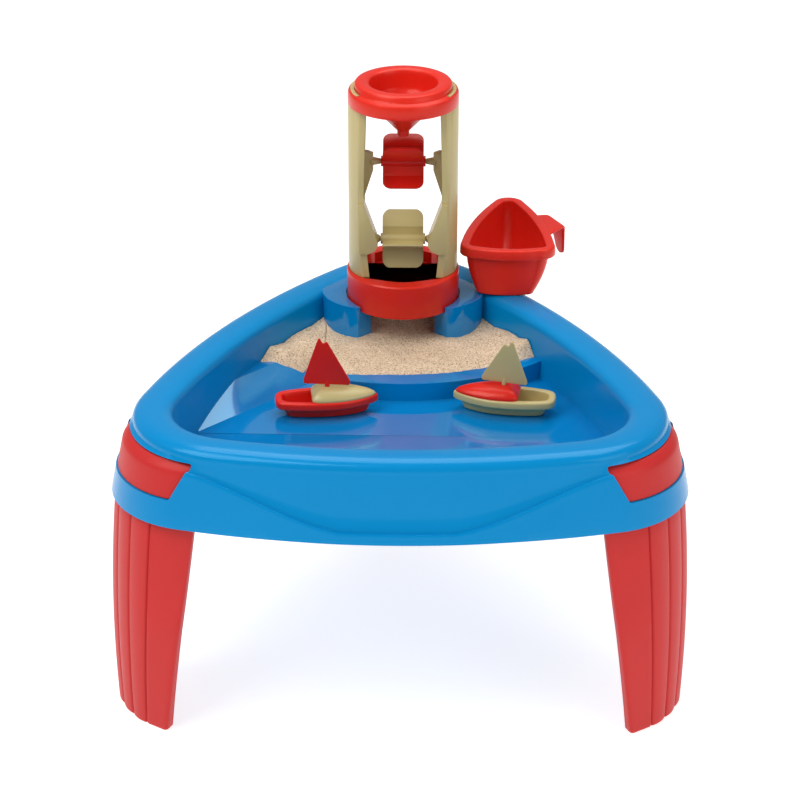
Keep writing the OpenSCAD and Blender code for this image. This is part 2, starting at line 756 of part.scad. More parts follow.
module funnel_cap() {
    top = post_top + flange_h;
    color([0.92, 0.25, 0.19]) at_tower() difference() {
        rotate_extrude() polygon(concat(
            [[flange_r, post_top], [flange_r, top - 2 * base_round]],
            [for (p = lip_round) [p[0], top + p[1]]],
            [for (p = bowl_side) [bowl_r + p[0], top + p[1]]],
            [[spout_r, top - spout_drop], [spout_r, top - spout_drop - spout_l]],
            [[spout_r + bowl_t + cap_gap, top - spout_drop - spout_l],
             [spout_r + bowl_t + cap_gap, top - spout_drop - bowl_t]],
            [for (k = [5, 4, 2, 1]) [bowl_r + bowl_side[k][0] + bowl_t,
                top + bowl_side[k][1] - bowl_t]],
            [for (p = lip_inside) [p[0], top + p[1]]],
            [[flange_r - flange_t, post_top]]));
        for (side = [0, 180])
            ring_piece(tab_slot[0], tab_slot[1], post_top + tab_slot_z[0], post_top + tab_slot_z[1],
                side, tab_slot_half);
    }
}

// Sand wheels: four bent blades round a hub, turning on the posts' pins
blade_t = 2.2;
blade_round = 11;
blade_bend_share = 0.5;
blade_bend = 20;
hub_r = 7;
hub_bore_l = 6;
upper_phase = 44;
lower_phase = -10;

module bar_2d(from, to) {
    d = to - from;
    translate(from) rotate(atan2(d[1], d[0])) translate([-blade_t / 2, -blade_t / 2])
        square([norm(d) + blade_t / 2, blade_t]);
}

module wheel(height, y, phase) {
    at_tower() translate([0, y, height]) difference() {
        union() {
            intersection() {
                rotate([90, 0, 90]) translate([0, 0, -wheel_w / 2]) linear_extrude(wheel_w)
                    for (turn = [0:90:270]) {
                        bar_2d([0, 0], polar(wheel_r * blade_bend_share, turn + phase + blade_bend));
                        bar_2d(polar(wheel_r * blade_bend_share, turn + phase + blade_bend),
                            polar(wheel_r, turn + phase));
                    }
                rotate([0, 90]) rotate_extrude() {
                    translate([0, -wheel_w / 2]) square([wheel_r - blade_round, wheel_w]);
                    translate([0, blade_round - wheel_w / 2])
                        square([wheel_r, wheel_w - 2 * blade_round]);
                    for (end = [-1, 1]) intersection() {
                        translate([wheel_r - blade_round, end * (wheel_w / 2 - blade_round)])
                            circle(blade_round);
                        translate([0, -far]) square([far, 2 * far]);
                    }
                }
            }
            translate([-hub_half, 0]) rotate([0, 90]) cylinder(h = 2 * hub_half, r = hub_r);
        }
        for (side = [0, 1]) mirror([side, 0]) translate([-hub_half - over, 0]) rotate([0, 90])
            cylinder(h = over + hub_bore_l, r = pin_r + pin_fit);
    }
}

module upper_wheel() {
    color([0.88, 0.2, 0.17]) wheel(base_top + upper_wheel_h, wheel_shift, upper_phase);
}

module lower_wheel() {
    color([0.76, 0.7, 0.5]) wheel(base_top + lower_wheel_h, -wheel_shift, lower_phase);
}

// Bucket: a tapering pot with a three-cornered rim, standing on the rim of the table
bucket_corners = [[96.4, 233], [178, 229], [142, 372]];
// The pot tapers towards this point of the plan
bucket_aim = [128, 212];
bucket_corner_r = 22;
bucket_bow = 26;
bucket_skirt_h = 13;
bucket_in = 8.5;
bucket_base_share = 0.7;
bucket_belly = [0.45, 0.7];
bucket_arc_steps = 6;
bucket_side_steps = 4;
bucket_z = rim_z + seat_gap;
handle_t = 3.5;
handle_sink = 0.5;
handle_plate = [[186, 262], [196, 264], [216, 298], [198, 333], [180, 336], [171, 330]];
handle_tongue = [[0.01, -1], [0.99, -1], [0.86, -14], [0.4, -43], [0.1, -43], [0.01, -38]];

function side_dir(i) = let (d = bucket_corners[(i + 1) % 3] - bucket_corners[i]) atan2(d[1], d[0]);
function bucket_outline(inset) = [for (i = [0:2]) let (
    from = side_dir((i + 2) % 3) - 90,
    turn = (side_dir(i) - side_dir((i + 2) % 3) + 360) % 360,
    r = bucket_corner_r - inset,
    a = bucket_corners[i] + polar(r, from + turn),
    b = bucket_corners[(i + 1) % 3] + polar(r, side_dir(i) - 90))
    each concat(
        [for (k = [0:bucket_arc_steps]) bucket_corners[i]
            + polar(r, from + turn * k / bucket_arc_steps)],
        [for (k = [1:bucket_side_steps - 1]) let (u = k / bucket_side_steps)
            a + (b - a) * u + polar(bucket_bow * u * (1 - u), side_dir(i) - 90)])];
function bucket_ring(inset, share, z) = [for (p = bucket_outline(inset))
    let (q = bucket_aim + (p - bucket_aim) * share) [q[0], q[1], bucket_z + z]];

// The handle: a wide strap out from the rim, folded down into a tapering tongue
module bucket_handle() {
    fold = handle_plate[3] - handle_plate[2];
    top = bucket_z + bucket_h - handle_sink;
    translate([0, 0, top - handle_t]) linear_extrude(handle_t) polygon(handle_plate);
    translate([handle_plate[2][0], handle_plate[2][1], top])
        rotate(atan2(fold[1], fold[0])) translate([0, seat_gap]) front_prism(
            [for (p = handle_tongue) [p[0] * norm(fold), p[1]]], handle_t);
}

module bucket() {
    low = bucket_base_share;
    mid = low + (1 - low) * bucket_belly[1];
    skirt_z = bucket_h - bucket_skirt_h;
    top_z = bucket_h - base_round / 2;
    inner = bucket_in + bucket_t;
    color([0.9, 0.22, 0.17]) translate([0, table_y]) {
        loft([bucket_ring(bucket_in + base_round, low, 0), bucket_ring(bucket_in, low, base_round),
            bucket_ring(bucket_in, mid, bucket_h * bucket_belly[0]),
            bucket_ring(bucket_in, 1, bucket_h - bucket_t),
            bucket_ring(bucket_t, 1, bucket_h - bucket_t),
            bucket_ring(bucket_t, 1, skirt_z), bucket_ring(0, 1, skirt_z),
            bucket_ring(0, 1, top_z), bucket_ring(base_round / 2, 1, bucket_h),
            bucket_ring(bucket_rim_w, 1, bucket_h),
            bucket_ring(inner, mid, bucket_h * bucket_belly[0]),
            bucket_ring(inner, low, bucket_t)]);
        bucket_handle();
    }
}

// Boats: a hull, a deck over its bow and a sail on a peg
hull_shares = [[-1, 0], [-0.98, 0.42], [-0.9, 0.68], [-0.7, 0.84], [-0.4, 0.96], [0, 1],
    [0.3, 0.93], [0.6, 0.7], [0.82, 0.42], [0.95, 0.18], [1, 0]];
deck_shares = [[-0.29, 0], [-0.29, 0.62], [-0.25, 0.78], [-0.15, 0.86], [0, 0.88], [0.3, 0.82],
    [0.6, 0.61], [0.82, 0.35], [0.92, 0.15], [0.95, 0]];
crown_shares = [[1, 0.15], [0.97, 0.3], [0.85, 0.55], [0.66, 0.78], [0.42, 0.94], [0.22, 1]];
hull_keel = [14, 11];
hull_in = 9;
band_h = 10;
hull_wall = 2.5;
hull_floor = 4;
peg_x = 1;
peg_d = 9;
sail_up = 2.5;
red_sail_turn = -4;
beige_sail_turn = -16;
sail_foot = 60;
edge_round = 1;
red_at = [-94, 11];
red_turn = 6;
beige_at = [130, 19];
beige_turn = 172;

function mirrored(shares) = let (n = len(shares)) concat(
    [for (p = shares) [p[0], -p[1]]], [for (k = [n - 2:-1:1]) shares[k]]);
function boat_ring(shares, inset, z) = [for (p = mirrored(shares))
    [p[0] * (boat_l / 2 - inset[0]), p[1] * (boat_w / 2 - inset[1]), z]];

module at_boat(at, turn) {
    translate([at[0], table_y + at[1], basin_z + seat_gap]) rotate(turn) children();
}

module boat_hull() {
    w = hull_wall;
    low = hull_h - band_h;
    in = [hull_in, hull_in];
    edge = [edge_round, edge_round];
    loft([boat_ring(hull_shares, hull_keel + [w, w], 0), boat_ring(hull_shares, hull_keel, w),
        boat_ring(hull_shares, in, low), boat_ring(hull_shares, edge, low),
        boat_ring(hull_shares, [0, 0], low + edge_round),
        boat_ring(hull_shares, [0, 0], hull_h - edge_round),
        boat_ring(hull_shares, edge, hull_h), boat_ring(hull_shares, in - edge, hull_h),
        boat_ring(hull_shares, in + [w, w], low), boat_ring(hull_shares, hull_keel + [w, w], hull_floor)]);
}

module boat_deck() {
    z = hull_h + seat_gap;
    top = z + crown_h;
    base = boat_ring(deck_shares, [0, 0], z);
    n = len(base);
    peg = [peg_x, 0, z];
    bore = (pin_r + pin_fit) / cos(180 / n);
    loft(concat([base], [for (q = crown_shares)
        [for (p = base) peg + (p - peg) * q[0] + [0, 0, crown_h * q[1]]]],
        [for (level = [top, top - peg_d]) [for (k = [0:n - 1])
            [peg_x + bore * cos(360 * k / n - 180), bore * sin(360 * k / n - 180), level]]]));
}

// The red sail seen from the front, as shares of half its foot and of its height
sail_shares = [[-0.94, 0], [0.9, 0], [0.97, 0.03], [0.96, 0.1], [0.04, 0.9], [-0.04, 0.92],
    [-0.1, 0.89], [-0.16, 0.88], [-0.22, 0.92], [-0.28, 0.99], [-0.36, 0.98], [-0.99, 0.1],
    [-1, 0.03]];
module boat_sail(height, turn) {
    foot = sail_foot / 2;
    z = hull_h + seat_gap + crown_h;
    translate([peg_x, 0, z]) {
        rotate(turn) translate([0, sail_t / 2, sail_up]) rotate([90, 0]) linear_extrude(sail_t)
            polygon([for (p = sail_shares) [p[0] * foot, p[1] * (height - sail_up)]]);
        translate([0, 0, seat_gap - peg_d]) cylinder(h = peg_d + sail_up, r = pin_r);
    }
}

module red_boat_hull() {
    color([0.88, 0.21, 0.17]) at_boat(red_at, red_turn) boat_hull();
}

module red_boat_deck() {
    color([0.76, 0.7, 0.5]) at_boat(red_at, red_turn) boat_deck();
}

module red_boat_sail() {
    color([0.88, 0.21, 0.17]) at_boat(red_at, red_turn)
        boat_sail(red_sail_h, red_sail_turn - red_turn);
}

module beige_boat_hull() {
    color([0.76, 0.7, 0.5]) at_boat(beige_at, beige_turn) boat_hull();
}

module beige_boat_deck() {
    color([0.88, 0.21, 0.17]) at_boat(beige_at, beige_turn) boat_deck();
}

module beige_boat_sail() {
    color([0.76, 0.7, 0.5]) at_boat(beige_at, beige_turn)
        boat_sail(beige_sail_h, beige_sail_turn - beige_turn + 180);
}

tray();
sand_fill();
leg_front_left();
leg_front_right();
leg_rear();
tower_base();
sieve_grid();
post_left();
post_right();
funnel_cap();
upper_wheel();
lower_wheel();
bucket();
red_boat_hull();
red_boat_deck();
red_boat_sail();
beige_boat_hull();
beige_boat_deck();
beige_boat_sail();
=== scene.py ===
import math

import bmesh
import bpy
import numpy as np
from mathutils import Matrix, Vector


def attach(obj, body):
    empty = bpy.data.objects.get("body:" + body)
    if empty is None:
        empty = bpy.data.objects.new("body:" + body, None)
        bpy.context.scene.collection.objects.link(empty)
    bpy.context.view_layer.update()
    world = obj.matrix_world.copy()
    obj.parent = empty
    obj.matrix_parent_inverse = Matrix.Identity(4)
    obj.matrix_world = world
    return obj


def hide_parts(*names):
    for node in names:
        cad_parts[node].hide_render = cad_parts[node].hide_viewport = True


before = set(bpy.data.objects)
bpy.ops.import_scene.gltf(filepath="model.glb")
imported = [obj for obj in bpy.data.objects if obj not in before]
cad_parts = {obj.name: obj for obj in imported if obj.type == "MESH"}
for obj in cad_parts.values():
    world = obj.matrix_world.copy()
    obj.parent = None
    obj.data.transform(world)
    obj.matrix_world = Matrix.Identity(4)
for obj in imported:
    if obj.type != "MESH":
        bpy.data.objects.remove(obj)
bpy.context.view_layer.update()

MM = 0.001

# Sizes in millimetres and angles in degrees, as in the part's source
RIM_Z = 384.0
LIP_Z = 370.0
APRON_Z = 286.0
BASIN_Z = 312.0
DECK_Z = 336.0
UNDER_Z = 308.6
TRAY_T = 3.5
CORNER_C = 268.0
CORNER_R = 93.0
SIDE_R = 975.0
RIM_C = 225.0
FLARE = 25.5
BAND_OFF = 8.5
LIP_OFF = 6.0
UPPER_FLARE = 14.5
WAVE_REACH = 250.0
WAVE_FLAT_SHARE = 0.27
WAVE_LOW = 13.0
WAVE_RISE = 59.0
WAVE_BEVEL = 3.0
WAVE_TOP = APRON_Z + WAVE_LOW + WAVE_RISE
NOSE_R = 123.5
NOSE_TUCK = 10.0
BELLY_Z = 90.0
WINDOW_Z = 320.0
WINDOW_TOP = 366.0
WINDOW_LOW_HALF = 70.5
WINDOW_HIGH_HALF = 80.5
WINDOW_SLANT_Z = 359.5
SEAT_GAP = 0.3
TURNS = (-150.0, -30.0, 90.0)
SIXTH = 60.0

# The plan: three corner arcs joined by three wide side arcs, for the apron and for the rounder rim
SIN_SIXTH = math.sin(math.radians(SIXTH))
SIDE_HALF = math.degrees(math.asin(CORNER_C * SIN_SIXTH / (SIDE_R - CORNER_R)))
CORNER_HALF = SIXTH - SIDE_HALF
BOW_BACK = math.sqrt((SIDE_R - CORNER_R) ** 2 - (CORNER_C * SIN_SIXTH) ** 2) - CORNER_C / 2
GAP = CORNER_C - RIM_C
RIM_SIDE_C = math.sqrt(RIM_C ** 2 + BOW_BACK ** 2 + RIM_C * BOW_BACK)
RIM_R = SIDE_R - RIM_SIDE_C
RIM_SIDE_HALF = math.degrees(math.asin(RIM_C * SIN_SIXTH / RIM_SIDE_C))
RIM_CORNER_HALF = SIXTH - RIM_SIDE_HALF
TABLE_Y = (SIDE_R - BOW_BACK + FLARE - CORNER_C - NOSE_R) / 2
TOWER_Y = TABLE_Y + 227.4
TABLE_AT = (0, TABLE_Y, 0)
TOWER_AT = (0, TOWER_Y, 0)


def cosd(a):
    return math.cos(math.radians(a))


def sind(a):
    return math.sin(math.radians(a))


def polar(r, a):
    return np.array([r * cosd(a), r * sind(a)])


def clip(v):
    return min(max(v, 0.0), 1.0)


def ease(u):
    """Half straight, half smooth, from 0 to 1."""
    return 0.5 * u + 0.5 * u * u * (3 - 2 * u)


def band_at(z):
    """Offset of the apron's proud band at a height."""
    return BAND_OFF + (FLARE - BAND_OFF) * (LIP_Z - z) / (LIP_Z - APRON_Z)


def upper_at(z):
    """Offset of the apron above the wave."""
    return LIP_OFF + UPPER_FLARE * (LIP_Z - z) / (LIP_Z - APRON_Z)


def wave_at(s):
    """Height of the wave at a distance along a side from its middle."""
    u = clip((abs(s) / WAVE_REACH - WAVE_FLAT_SHARE) / (1 - WAVE_FLAT_SHARE))
    return APRON_Z + WAVE_LOW + WAVE_RISE * ease(u)


def nose_at(z):
    """Radius of a leg's nose at a height."""
    return NOSE_R - NOSE_TUCK * ((z - BELLY_Z) / (APRON_Z - BELLY_Z)) ** 2


def apron_inside(z):
    """Offset of the apron's inner face at a corner."""
    rise = WAVE_TOP - WAVE_BEVEL - APRON_Z
    return FLARE - TRAY_T - (FLARE - upper_at(WAVE_TOP)) * (z - APRON_Z) / rise


def on_arc(a, off):
    """Distance from the rim's corner centre to the apron's corner arc, at an angle."""
    return GAP * cosd(a) + math.sqrt((CORNER_R + off) ** 2 - (GAP * sind(a)) ** 2)


def arc_angle(a, off):
    """The same point's angle about the apron's own corner centre."""
    r = on_arc(a, off)
    return math.degrees(math.atan2(r * sind(abs(a)), r * cosd(a) - GAP))


def on_side(a, off):
    """Distance from the rim's corner centre to the apron's side arc."""
    d = RIM_CORNER_HALF - abs(a)
    return math.sqrt((SIDE_R + off) ** 2 - (RIM_SIDE_C * sind(d)) ** 2) - RIM_SIDE_C * cosd(d)


def apron_out(a, off):
    return (on_arc(a, off) if arc_angle(a, off) <= CORNER_HALF else on_side(a, off)) - RIM_R


def side_run(a):
    """How far along its side an angle of the rim's corner reaches."""
    d = RIM_CORNER_HALF - abs(a)
    return SIDE_R * sind(RIM_SIDE_HALF + math.degrees(math.asin(on_side(a, 0) * sind(d) / SIDE_R)))


# Mesh helpers
def add_mesh(name, verts, faces, angle=32, origin=(0, 0, 0), turn=0.0, flat=False):
    """A mesh object from points in mm, turned about Z and moved to its place in the row frame."""
    v = np.asarray(verts, float) * MM
    if turn:
        c, s = cosd(turn), sind(turn)
        v = np.column_stack([v[:, 0] * c - v[:, 1] * s, v[:, 0] * s + v[:, 1] * c, v[:, 2]])
    v = v + np.asarray(origin, float) * MM
    me = bpy.data.meshes.new(name)
    me.from_pydata([tuple(p) for p in v], [], [tuple(int(i) for i in f) for f in faces])
    bm = bmesh.new()
    bm.from_mesh(me)
    bmesh.ops.recalc_face_normals(bm, faces=bm.faces)
    bm.to_mesh(me)
    bm.free()
    ob = bpy.data.objects.new(name, me)
    bpy.context.scene.collection.objects.link(ob)
    if not flat:
        shade(ob, angle)
    return ob


def shade(ob, angle=32):
    me = ob.data
    me.polygons.foreach_set("use_smooth", [True] * len(me.polygons))
    me.set_sharp_from_angle(angle=math.radians(angle))


def loft(name, rings, closed=False, **kw):
    """A surface through rings of equal length. closed joins the last ring to the first, else both
    ends are capped."""
    m, n = len(rings), len(rings[0])
    verts = np.vstack([np.asarray(r, float) for r in rings])
    faces = []
    for i in range(m if closed else m - 1):
        a, b = i * n, ((i + 1) % m) * n
        for j in range(n):
            k = (j + 1) % n
            faces.append((a + j, b + j, b + k, a + k))
    if not closed:
        faces.append(tuple(range(n)))
        faces.append(tuple((m - 1) * n + j for j in range(n)))
    return add_mesh(name, verts, faces, **kw)


def prism(name, pts, z0, z1, **kw):
    pts = np.asarray(pts, float)
    lo = np.column_stack([pts, np.full(len(pts), z0)])
    hi = np.column_stack([pts, np.full(len(pts), z1)])
    return loft(name, [lo, hi], **kw)


def boolean(ob, other, op):
    """Exact boolean, worked out at once. The other piece is spent."""
    mod = ob.modifiers.new("cut", "BOOLEAN")
    mod.operation = op
    mod.solver = "EXACT"
    mod.object = other
    dg = bpy.context.evaluated_depsgraph_get()
    me = bpy.data.meshes.new_from_object(ob.evaluated_get(dg))
    ob.modifiers.clear()
    old = ob.data
    ob.data = me
    bpy.data.meshes.remove(old)
    bpy.data.objects.remove(other)
    return ob


def bevel(ob, width, segments=3, angle=35):
    mod = ob.modifiers.new("round", "BEVEL")
    mod.width = width * MM
    mod.segments = segments
    mod.limit_method = "ANGLE"
    mod.angle_limit = math.radians(angle)
    mod.harden_normals = False
    return ob


def bake(ob, angle=32):
    """Replaces the object's mesh by its mesh with the modifiers worked out."""
    dg = bpy.context.evaluated_depsgraph_get()
    me = bpy.data.meshes.new_from_object(ob.evaluated_get(dg))
    ob.modifiers.clear()
    ob.data = me
    shade(ob, angle)
    return ob


def join(ob, *others):
    """One object from several, kept as separate shells."""
    bm = bmesh.new()
    bm.from_mesh(ob.data)
    for o in others:
        bm.from_mesh(o.data)
        bpy.data.objects.remove(o)
    bm.to_mesh(ob.data)
    bm.free()
    return ob


def spline(pts, per=6):
    """Catmull-Rom points of a closed line through the given ones."""
    p = np.asarray(pts, float)
    n = len(p)
    out = []
    for i in range(n):
        a, b, c, d = p[(i - 1) % n], p[i], p[(i + 1) % n], p[(i + 2) % n]
        for k in range(per):
            t = k / per
            out.append(0.5 * ((2 * b) + (c - a) * t + (2 * a - 5 * b + 4 * c - d) * t * t
                              + (3 * b - a - 3 * c + d) * t ** 3))
    return np.array(out)


def circle(r, at=(0.0, 0.0), step=3.0):
    return [(at[0] + r * cosd(a), at[1] + r * sind(a)) for a in np.arange(0, 360, step)]


def round_poly(pts, radii, steps=6):
    """A polygon with its corners rounded, counter-clockwise or clockwise."""
    p = np.asarray(pts, float)
    n = len(p)
    if np.isscalar(radii):
        radii = [radii] * n
    out = []
    for i in range(n):
        a, b, c = p[i - 1], p[i], p[(i + 1) % n]
        r = radii[i]
        if r <= 0:
            out.append(b)
            continue
        u = (a - b) / np.linalg.norm(a - b)
        v = (c - b) / np.linalg.norm(c - b)
        half = math.acos(max(-1, min(1, float(u @ v)))) / 2
        d = min(r / math.tan(half), 0.48 * np.linalg.norm(a - b), 0.48 * np.linalg.norm(c - b))
        s, e = b + u * d, b + v * d
        for k in range(steps + 1):
            t = k / steps
            out.append((1 - t) ** 2 * s + 2 * t * (1 - t) * b + t * t * e)
    return np.array(out)


# Materials
def srgb(r, g, b):
    def f(c):
        c = c / 255
        return c / 12.92 if c <= 0.04045 else ((c + 0.055) / 1.055) ** 2.4
    return (f(r), f(g), f(b), 1)


def plastic(name, colour, rough=0.32, coat=0.25, coat_rough=0.12, grain=0.25, grain_size=900,
            mottle=0.05, spec=0.5, tint=None):
    """Moulded plastic: a faint orange-peel, slight mottling and roughness that varies a little."""
    mat = bpy.data.materials.new(name)
    mat.use_nodes = True
    nt = mat.node_tree
    nt.nodes.clear()
    out = nt.nodes.new("ShaderNodeOutputMaterial")
    bsdf = nt.nodes.new("ShaderNodeBsdfPrincipled")
    nt.links.new(bsdf.outputs["BSDF"], out.inputs["Surface"])
    pos = nt.nodes.new("ShaderNodeTexCoord")
    big = nt.nodes.new("ShaderNodeTexNoise")
    big.inputs["Scale"].default_value = 14
    big.inputs["Detail"].default_value = 3
    nt.links.new(pos.outputs["Object"], big.inputs["Vector"])
    ramp = nt.nodes.new("ShaderNodeMixRGB")
    ramp.blend_type = "MIX"
    ramp.inputs["Color1"].default_value = tuple(c * (1 - mottle) for c in colour[:3]) + (1,)
    ramp.inputs["Color2"].default_value = tuple(min(c * (1 + mottle), 1) for c in colour[:3]) + (1,)
    nt.links.new(big.outputs["Fac"], ramp.inputs["Fac"])
    nt.links.new(ramp.outputs["Color"], bsdf.inputs["Base Color"])
    rr = nt.nodes.new("ShaderNodeMapRange")
    rr.inputs["To Min"].default_value = max(rough - 0.05, 0.02)
    rr.inputs["To Max"].default_value = rough + 0.05
    nt.links.new(big.outputs["Fac"], rr.inputs["Value"])
    nt.links.new(rr.outputs["Result"], bsdf.inputs["Roughness"])
    bsdf.inputs["Specular IOR Level"].default_value = spec
    bsdf.inputs["Coat Weight"].default_value = coat
    bsdf.inputs["Coat Roughness"].default_value = coat_rough
    if tint:
        bsdf.inputs["Specular Tint"].default_value = tint
    fine = nt.nodes.new("ShaderNodeTexNoise")
    fine.inputs["Scale"].default_value = grain_size
    fine.inputs["Detail"].default_value = 2
    nt.links.new(pos.outputs["Object"], fine.inputs["Vector"])
    bump = nt.nodes.new("ShaderNodeBump")
    bump.inputs["Strength"].default_value = grain
    bump.inputs["Distance"].default_value = 0.00008
    nt.links.new(fine.outputs["Fac"], bump.inputs["Height"])
    nt.links.new(bump.outputs["Normal"], bsdf.inputs["Normal"])
    return mat


def sand_material():
    """Play sand: fine pale and dark grains over a warm ground, with a grainy surface."""
    mat = bpy.data.materials.new("play_sand")
    mat.use_nodes = True
    nt = mat.node_tree
    nt.nodes.clear()
    out = nt.nodes.new("ShaderNodeOutputMaterial")
    bsdf = nt.nodes.new("ShaderNodeBsdfPrincipled")
    nt.links.new(bsdf.outputs["BSDF"], out.inputs["Surface"])
    pos = nt.nodes.new("ShaderNodeTexCoord")
    grains = nt.nodes.new("ShaderNodeTexVoronoi")
    grains.inputs["Scale"].default_value = 860
    nt.links.new(pos.outputs["Object"], grains.inputs["Vector"])
    sep = nt.nodes.new("ShaderNodeSeparateColor")
    nt.links.new(grains.outputs["Color"], sep.inputs["Color"])
    ramp = nt.nodes.new("ShaderNodeValToRGB")
    cr = ramp.color_ramp
    cr.interpolation = "LINEAR"
    cr.elements[0].position = 0.0
    cr.elements[0].color = srgb(150, 120, 92)
    cr.elements[1].position = 1.0
    cr.elements[1].color = srgb(246, 228, 204)
    for p, c in ((0.08, (184, 154, 122)), (0.2, (216, 188, 154)), (0.6, (230, 204, 172)),
                 (0.86, (240, 218, 190))):
        e = cr.elements.new(p)
        e.color = srgb(*c)
    nt.links.new(sep.outputs["Red"], ramp.inputs["Fac"])
    clump = nt.nodes.new("ShaderNodeTexNoise")
    clump.inputs["Scale"].default_value = 55
    clump.inputs["Detail"].default_value = 5
    nt.links.new(pos.outputs["Object"], clump.inputs["Vector"])
    mix = nt.nodes.new("ShaderNodeMixRGB")
    mix.blend_type = "MULTIPLY"
    mix.inputs["Fac"].default_value = 0.2
    cl = nt.nodes.new("ShaderNodeValToRGB")
    cl.color_ramp.elements[0].position = 0.35
    cl.color_ramp.elements[0].color = (0.62, 0.58, 0.54, 1)
    cl.color_ramp.elements[1].position = 0.62
    cl.color_ramp.elements[1].color = (1, 1, 1, 1)
    nt.links.new(clump.outputs["Fac"], cl.inputs["Fac"])
    nt.links.new(ramp.outputs["Color"], mix.inputs["Color1"])
    nt.links.new(cl.outputs["Color"], mix.inputs["Color2"])
    nt.links.new(mix.outputs["Color"], bsdf.inputs["Base Color"])
    bsdf.inputs["Roughness"].default_value = 0.95
    bsdf.inputs["Specular IOR Level"].default_value = 0.2
    add = nt.nodes.new("ShaderNodeMath")
    add.operation = "ADD"
    nt.links.new(grains.outputs["Distance"], add.inputs[0])
    nt.links.new(clump.outputs["Fac"], add.inputs[1])
    bump = nt.nodes.new("ShaderNodeBump")
    bump.inputs["Strength"].default_value = 0.8
    bump.inputs["Distance"].default_value = 0.0008
    nt.links.new(add.outputs["Value"], bump.inputs["Height"])
    nt.links.new(bump.outputs["Normal"], bsdf.inputs["Normal"])
    return mat


BLUE_TINT = (0.25, 0.8, 1.0, 1)
BLUE = plastic("rim_blue", srgb(0, 136, 200), rough=0.24, coat=0.12, coat_rough=0.06, mottle=0.03,
               spec=0.35, tint=BLUE_TINT)
BASIN = plastic("basin_blue", srgb(0, 126, 194), rough=0.08, coat=0.8, coat_rough=0.03, mottle=0.03,
                grain=0.08, spec=0.8, tint=BLUE_TINT)
RED = plastic("tower_red", srgb(224, 40, 26), rough=0.34, coat=0.1, tint=(1, 0.5, 0.4, 1))
WHEEL_RED = plastic("wheel_red", srgb(222, 34, 24), rough=0.3, coat=0.1, tint=(1, 0.5, 0.4, 1))
LEG = plastic("leg_red", srgb(200, 38, 38), rough=0.5, coat=0.03, grain=0.5, grain_size=500,
              tint=(1, 0.6, 0.55, 1))
BEIGE = plastic("toy_beige", srgb(196, 178, 120), rough=0.36, coat=0.1)
SAND = sand_material()


def dress(ob, mat, body, node):
    """Gives a piece its material and the body it rides, and hides the node it replaces."""
    ob.data.materials.clear()
    ob.data.materials.append(mat)
    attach(ob, body)
    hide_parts(node)
    return ob


# The tray: rim, apron and basin
ROLL_MID = -18.5
ROLL_HALF = 24.5
ROLL_FOOT_Z = 369.8
ROLL_RISE = 14.2
ROLL_STEPS = 24
ROLL_IN_SHARPNESS = 0.74
ROLL_OUT_SHARPNESS = 0.84
WALL_LINE = [(-47.2, UNDER_Z), (-46.9, BASIN_Z), (-46.2, 322), (-45.0, 340), (-43.8, 358)]
UNDER_ROLL = [(2.5, LIP_Z), (-4, 376.5), (-12, 379.6), (-21.5, 380.5), (-30, 379.3), (-35, 376.5),
              (-39.5, LIP_Z), (-43.6, UNDER_Z)]
SKIN_TOP_Z = 367.0
SKIN_SHARES = (0.0, 0.35, 0.7)
BAND_SHARES = (0.05, 0.25, 0.5, 0.75, 0.97)
CORNER_STEPS = 72
SIDE_STEPS = 80
WINDOW_FROM = 57.5
WINDOW_TO = 200.0
WINDOW_ROUND = [4, 4, 3, 3, 3, 3]
BASIN_OFF = -44.6
FAR = 600.0
LEDGE_R = 265.0
LEDGE_Y = 310.0
RAMP_X = -100.0
RAMP_TURN = 136.0
RAMP_FOOT = 151.0
RAMP_RUN = 40.0
SOCKET_HALF = 45.0
SOCKET_Y = 6.0
SOCKET_R = 61.5
SOCKET_BACK = 260.0
SOCKET_TOP = 383.0
SOCKET_OFF = -36.0
SEAT_R = 75.2
SEAT_Z = 375.2
PIT_R = 57.0
MOUTH_HALF = 47.0
MOUTH_REACH = 300.0
BASIN_ROUND = 2.6


def plan(off, steps=24):
    """The rim's outline at an offset, counter-clockwise from the front left corner."""
    pts = []
    for turn in TURNS:
        c = polar(RIM_C, turn)
        for k in range(steps + 1):
            pts.append(c + polar(RIM_R + off, turn + RIM_CORNER_HALF * (2 * k / steps - 1)))
        s = -polar(BOW_BACK, turn + SIXTH)
        for k in range(1, 2 * steps):
            pts.append(s + polar(SIDE_R + off, turn + SIXTH + RIM_SIDE_HALF * (k / steps - 1)))
    return np.array(pts)


